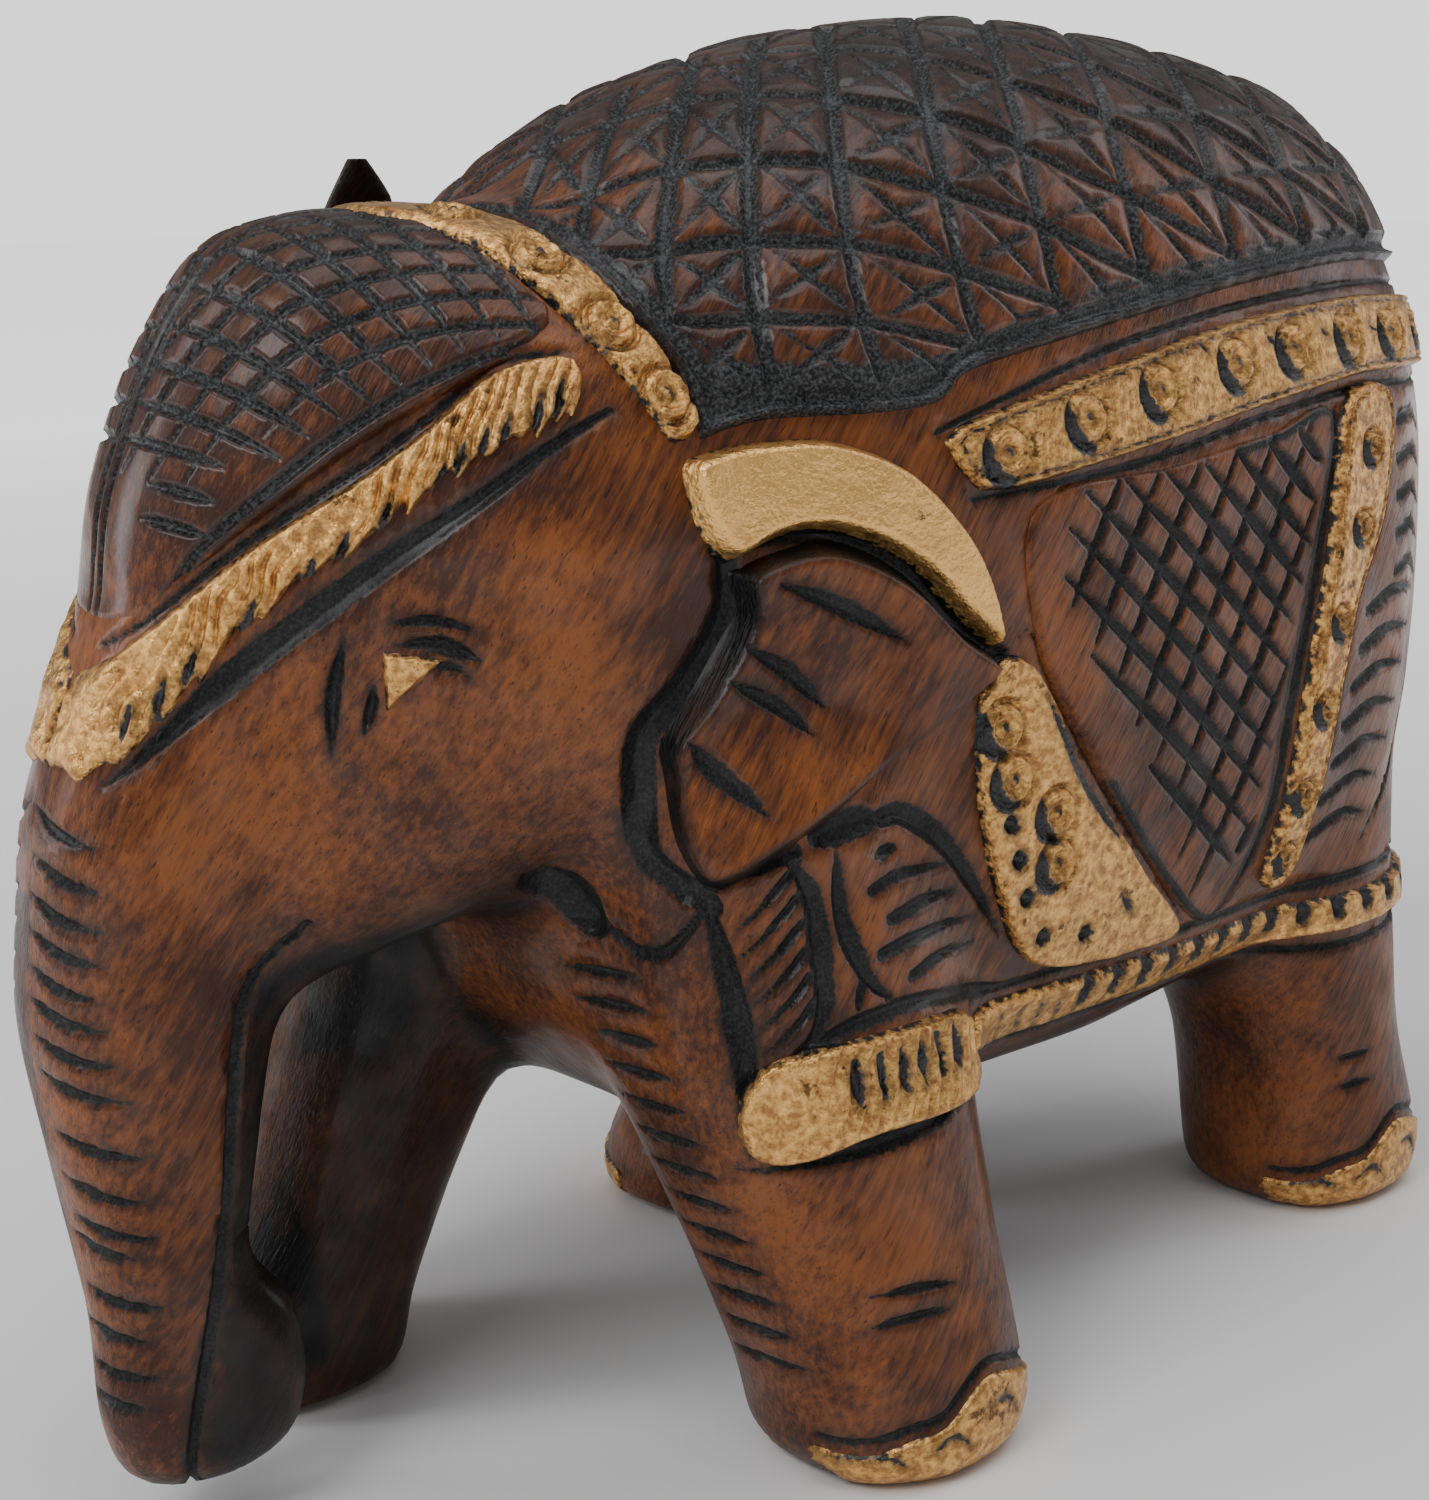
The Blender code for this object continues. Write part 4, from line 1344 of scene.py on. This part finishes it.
def wood(name, shade, grey, coats):
    """Lacquered wood with pores along the grain, patches where the stain lies thicker, light flecks with
    painted glints, and the piece's recorded painted shade and stain.
    """
    recipe = Recipe(name)
    light, dark = finishes().wood_light, finishes().wood_dark
    cut, stain_and_shade_mask = recipe.kept("cut"), recipe.kept("stain_and_shade")
    patch = recipe.noise(17, 4, roughness=0.62)
    streak = recipe.grain(0.7, 7, 4, 0.65)
    tone = recipe.add(recipe.times(patch, 0.56), recipe.times(streak, 0.44))
    colour = recipe.mix(recipe.band(tone, 0.42 + shade, 0.595 + shade), dark, light)
    pore = recipe.grain(0.24, 2.4, 2)
    colour = recipe.mix(recipe.times(recipe.band(pore, 0.38, 0.27), 0.85), colour, shaded(dark, 0.2))
    # Light flecks along the grain: partly the wood's own streaks, partly painted glints of the lacquer.
    fleck_and_glint = recipe.band(recipe.grain(0.22, 1.4, 1.5), 0.66, 0.78)
    colour = recipe.mix(recipe.times(fleck_and_glint, 0.35), colour, shaded(light, 1.5))
    # Painted shade and stain: the piece's recorded darkening pulls the wood towards black, unevenly.
    uneven = recipe.band(recipe.noise(5, 3), 0.25, 0.5, 0.72, 1.0)
    colour = recipe.mix(recipe.times(stain_and_shade_mask, uneven), colour, shaded(finishes().stain, 1.2))
    recipe.link("Base Color", stained_cuts(recipe, colour, cut, 0.9, grey))
    in_cut = recipe.band(cut, 0.0, -0.15)
    worn = recipe.band(recipe.noise(3.5, 3), 0.3, 0.7, 0.34, 0.5)
    recipe.link("Roughness", recipe.add(worn, recipe.times(in_cut, 0.18)))
    coat = recipe.band(recipe.noise(6, 2), 0.3, 0.7, *coats)
    dull = recipe.times(recipe.maths("MAXIMUM", in_cut, stain_and_shade_mask), coats[0])
    recipe.link("Coat Weight", recipe.maths("SUBTRACT", coat, dull))
    recipe.set("Coat Roughness", 0.17)
    recipe.set("Specular IOR Level", 0.22)
    recipe.bumps((pore, 0.11), (streak, 0.2), (recipe.noise(0.45, 3), 0.05), (recipe.noise(4, 2), 0.4))
    return recipe.material


def gold_paint(name):
    """Gold paint, thin and brown in the lows and gone where it has worn."""
    recipe = Recipe(name)
    cut, within, thin = recipe.kept("cut"), recipe.kept("within"), recipe.kept("thin")
    blotch = recipe.noise(0.9, 4, roughness=0.6)
    low = recipe.times(recipe.band(blotch, 0.66, 0.38), recipe.add(thin, 0.12))
    colour = recipe.mix(low, finishes().gold, finishes().gold_low)
    wear = recipe.maths("SUBTRACT", recipe.noise(2.4, 4, roughness=0.7), recipe.times(thin, 0.08))
    colour = recipe.mix(recipe.times(recipe.band(wear, 0.33, 0.27), 0.8), colour, finishes().wood_dark)
    colour = stained_cuts(recipe, colour, cut, 0.8, GOLD_CUT_SHEEN)
    edge = recipe.add(within, recipe.band(recipe.noise(0.9, 2), 0.3, 0.7, -0.2, 0.2))
    colour = recipe.mix(recipe.band(edge, 0.12, -0.05), colour, finishes().stain)
    recipe.link("Base Color", colour)
    painted = recipe.times(recipe.band(cut, -0.1, 0.1), recipe.band(edge, -0.05, 0.12))
    recipe.link("Metallic", recipe.times(painted, recipe.band(blotch, 0.35, 0.65, 0.8, 1.0)))
    recipe.link("Roughness", recipe.band(recipe.noise(1.1, 3), 0.3, 0.7, 0.26, 0.42))
    recipe.set("Coat Weight", 0.1)
    recipe.set("Coat Roughness", 0.2)
    recipe.bumps((recipe.noise(0.4, 3), 0.14), (blotch, 0.22))
    return recipe.material


def pale_floor(name):
    """A pale floor that glows, more strongly away from the elephant: painted light, so the far floor reads as
    an even white backdrop.
    """
    recipe, shade = Recipe(name), studio().floor
    cloud = recipe.band(recipe.noise(60, 2), 0.3, 0.7)
    recipe.link("Base Color", recipe.mix(cloud, shaded(shade, 0.985), shade))
    away = recipe.put("ShaderNodeVectorMath", {0: recipe.place}, operation="LENGTH").outputs["Value"]
    # Painted light: the floor's glow, none near the elephant and rising far off.
    recipe.link("Emission Strength", recipe.band(away, 0.16, 0.9, 0.0, 1.15))
    recipe.set("Emission Color", (1, 1, 1, 1))
    recipe.set("Roughness", 0.6)
    return recipe.material


def finish(name):
    """The finish of that name, mixed the first time it is asked for."""
    made = bpy.data.materials.get(name)
    if made:
        return made
    if name in WOODS:
        return wood(name, *WOODS[name])
    return {"bright gold": gold_paint, "pale floor": pale_floor}[name](name)


# ------------------------------------------------------------------ stage

# The camera, in mm and degrees: what it looks at, how far off it is, and where it stands.
LOOK_AT = (-9.9, 2.75, 59.6)
CAMERA_AWAY, CAMERA_AROUND, CAMERA_UP, CAMERA_ROLL = 253.8, -42.677, 13.633, -0.818
LIGHTS_AT = (0, 0, 65)
COOL = (0.95, 0.95, 1.0)
SKY, SKY_SEEN = 0.3, 1.5  # the pale sky's strength: as a light, and behind the elephant


def toward(around, up):
    """The direction at those degrees, round from the front of the scene and up from the floor."""
    a, e = radians(around), radians(up)
    return Vector((sin(a) * cos(e), -cos(a) * cos(e), sin(e)))


def set_camera():
    data = bpy.data.cameras.new("camera")
    data.lens, data.sensor_width = 60, 36
    back = toward(CAMERA_AROUND, CAMERA_UP)
    right = Vector((0, 0, 1)).cross(back).normalized()
    up, roll = back.cross(right), radians(CAMERA_ROLL)
    rows = (cos(roll) * right + sin(roll) * up, cos(roll) * up - sin(roll) * right, back)
    stand = ORIGIN + (Vector(LOOK_AT) + back * CAMERA_AWAY) * MM
    camera = add_to_scene("camera", data)
    camera.matrix_world = Matrix.Translation(stand) @ Matrix(rows).transposed().to_4x4()
    bpy.context.scene.camera = camera


def soft_light(name, around, up, away, width, height, power, colour=(1, 1, 1)):
    """A softbox that faces the elephant."""
    data = bpy.data.lights.new(name, "AREA")
    data.shape, data.size, data.size_y = "RECTANGLE", width, height
    data.energy, data.color = power, colour
    back = toward(around, up)
    stand = ORIGIN + Vector(LIGHTS_AT) * MM + back * away
    light = add_to_scene(name, data)
    light.matrix_world = Matrix.Translation(stand) @ back.to_track_quat("Z", "Y").to_matrix().to_4x4()


def set_floor():
    bm = bmesh.new()
    bmesh.ops.create_grid(bm, x_segments=8, y_segments=8, size=3)
    bmesh.ops.translate(bm, verts=bm.verts, vec=(0, 0, CAD_BOX[0][2]))
    mesh = mesh_of("floor", bm)
    mesh.materials.append(finish("pale floor"))
    add_to_scene("floor", mesh)


def set_sky():
    world = bpy.data.worlds.new("studio")
    world.use_nodes = True
    tree = world.node_tree
    background = tree.nodes["Background"]
    background.inputs["Color"].default_value = (1, 1, 1, 1)
    seen = tree.nodes.new("ShaderNodeLightPath").outputs["Is Camera Ray"]
    strength = tree.nodes.new("ShaderNodeMapRange")
    strength.inputs["To Min"].default_value, strength.inputs["To Max"].default_value = SKY, SKY_SEEN
    tree.links.new(seen, strength.inputs["Value"])
    tree.links.new(strength.outputs["Result"], background.inputs["Strength"])
    bpy.context.scene.world = world


def set_stage():
    set_floor()
    set_sky()
    key = studio().key
    soft_light("overhead", 20, 82, 0.75, 0.7, 0.7, key * 1.6, (0.96, 0.97, 1.0))
    soft_light("key", -80, 42, 0.8, 0.35, 0.35, key * 1.3)
    soft_light("left_rim", -128, 22, 0.7, 0.16, 0.6, key * 0.8, COOL)
    soft_light("right_rim", 70, 26, 0.7, 0.2, 0.6, key * 0.4, COOL)
    set_camera()


# ------------------------------------------------------------------ operators and panel


class ELEPHANT_OT_block(bpy.types.Operator):
    """Carve the block: body, head, trunk and legs, with every cut in the bare wood"""

    bl_idname = "elephant.block"
    bl_label = "Carve the block"

    def execute(self, context):
        carved_block()
        return {"FINISHED"}


class ELEPHANT_OT_cloth(bpy.types.Operator):
    """Carve the saddlecloth over the back, with its lattice of grooves"""

    bl_idname = "elephant.cloth"
    bl_label = "Carve the saddlecloth"

    def execute(self, context):
        back_cloth()
        return {"FINISHED"}


class ELEPHANT_OT_panels(bpy.types.Operator):
    """Carve the hatched side panels"""

    bl_idname = "elephant.panels"
    bl_label = "Carve the side panels"

    def execute(self, context):
        for word, side in SIDES.items():
            side_panel(word, side)
        return {"FINISHED"}


class ELEPHANT_OT_cap(bpy.types.Operator):
    """Carve the cap on the forehead"""

    bl_idname = "elephant.cap"
    bl_label = "Carve the forehead cap"

    def execute(self, context):
        forehead_cap()
        return {"FINISHED"}


class ELEPHANT_OT_bands(bpy.types.Operator):
    """Gild the bands of the cloth: flank bands, rosette drops, rear straps and hem"""

    bl_idname = "elephant.bands"
    bl_label = "Gild the cloth's bands"

    def execute(self, context):
        for word, side in SIDES.items():
            for make in (flank_band, rosette_drop, rear_strap, hem_border):
                make(word, side)
        return {"FINISHED"}


class ELEPHANT_OT_head_gilding(bpy.types.Operator):
    """Gild the head: collar, brow bands and eyes"""

    bl_idname = "elephant.head_gilding"
    bl_label = "Gild the head"

    def execute(self, context):
        neck_band()
        for word, side in SIDES.items():
            brow_band(word, side)
            eye(word, side)
        return {"FINISHED"}


class ELEPHANT_OT_leg_gilding(bpy.types.Operator):
    """Gild the legs: fringes on the forelegs and scallops round the toes"""

    bl_idname = "elephant.leg_gilding"
    bl_label = "Gild the legs"

    def execute(self, context):
        for word, side in SIDES.items():
            foreleg_fringe(word, side)
        for leg in FEET:
            toe_cap(leg)
        return {"FINISHED"}


class ELEPHANT_OT_ears(bpy.types.Operator):
    """Carve the ears, with their gilded rims and the far ear's tip"""

    bl_idname = "elephant.ears"
    bl_label = "Carve the ears"

    def execute(self, context):
        for word, side in SIDES.items():
            ear(word, side)
            ear_rim(word, side)
        ear_tip()
        return {"FINISHED"}


class ELEPHANT_OT_tail(bpy.types.Operator):
    """Carve the tail that lies down the rump"""

    bl_idname = "elephant.tail"
    bl_label = "Carve the tail"

    def execute(self, context):
        tail()
        return {"FINISHED"}


class ELEPHANT_OT_stage(bpy.types.Operator):
    """Set the floor, the lights and the camera"""

    bl_idname = "elephant.stage"
    bl_label = "Set the stage"

    def execute(self, context):
        set_stage()
        return {"FINISHED"}


STEPS = (
    ELEPHANT_OT_block, ELEPHANT_OT_cloth, ELEPHANT_OT_panels, ELEPHANT_OT_cap, ELEPHANT_OT_bands,
    ELEPHANT_OT_head_gilding, ELEPHANT_OT_leg_gilding, ELEPHANT_OT_ears, ELEPHANT_OT_tail, ELEPHANT_OT_stage,
)


class ELEPHANT_PT_carving(bpy.types.Panel):
    """Lists the steps of the carving"""

    bl_label = "Carved Elephant"
    bl_space_type = "VIEW_3D"
    bl_region_type = "UI"
    bl_category = "Carved Elephant"

    def draw(self, context):
        for name, group in SETTINGS.items():
            box = self.layout.box()
            for key in group.__annotations__:
                box.prop(getattr(context.scene, name), key)
        for step in STEPS:
            self.layout.operator(step.bl_idname)


CLASSES = (*SETTINGS.values(), *STEPS, ELEPHANT_PT_carving)


def register():
    for each in CLASSES:
        bpy.utils.register_class(each)
    for name, group in SETTINGS.items():
        setattr(bpy.types.Scene, name, PointerProperty(type=group))


def unregister():
    for name in SETTINGS:
        delattr(bpy.types.Scene, name)
    for each in reversed(CLASSES):
        bpy.utils.unregister_class(each)


def main():
    register()
    for step in STEPS:
        group, name = step.bl_idname.split(".")
        getattr(getattr(bpy.ops, group), name)()


if __name__ == "__main__":
    main()
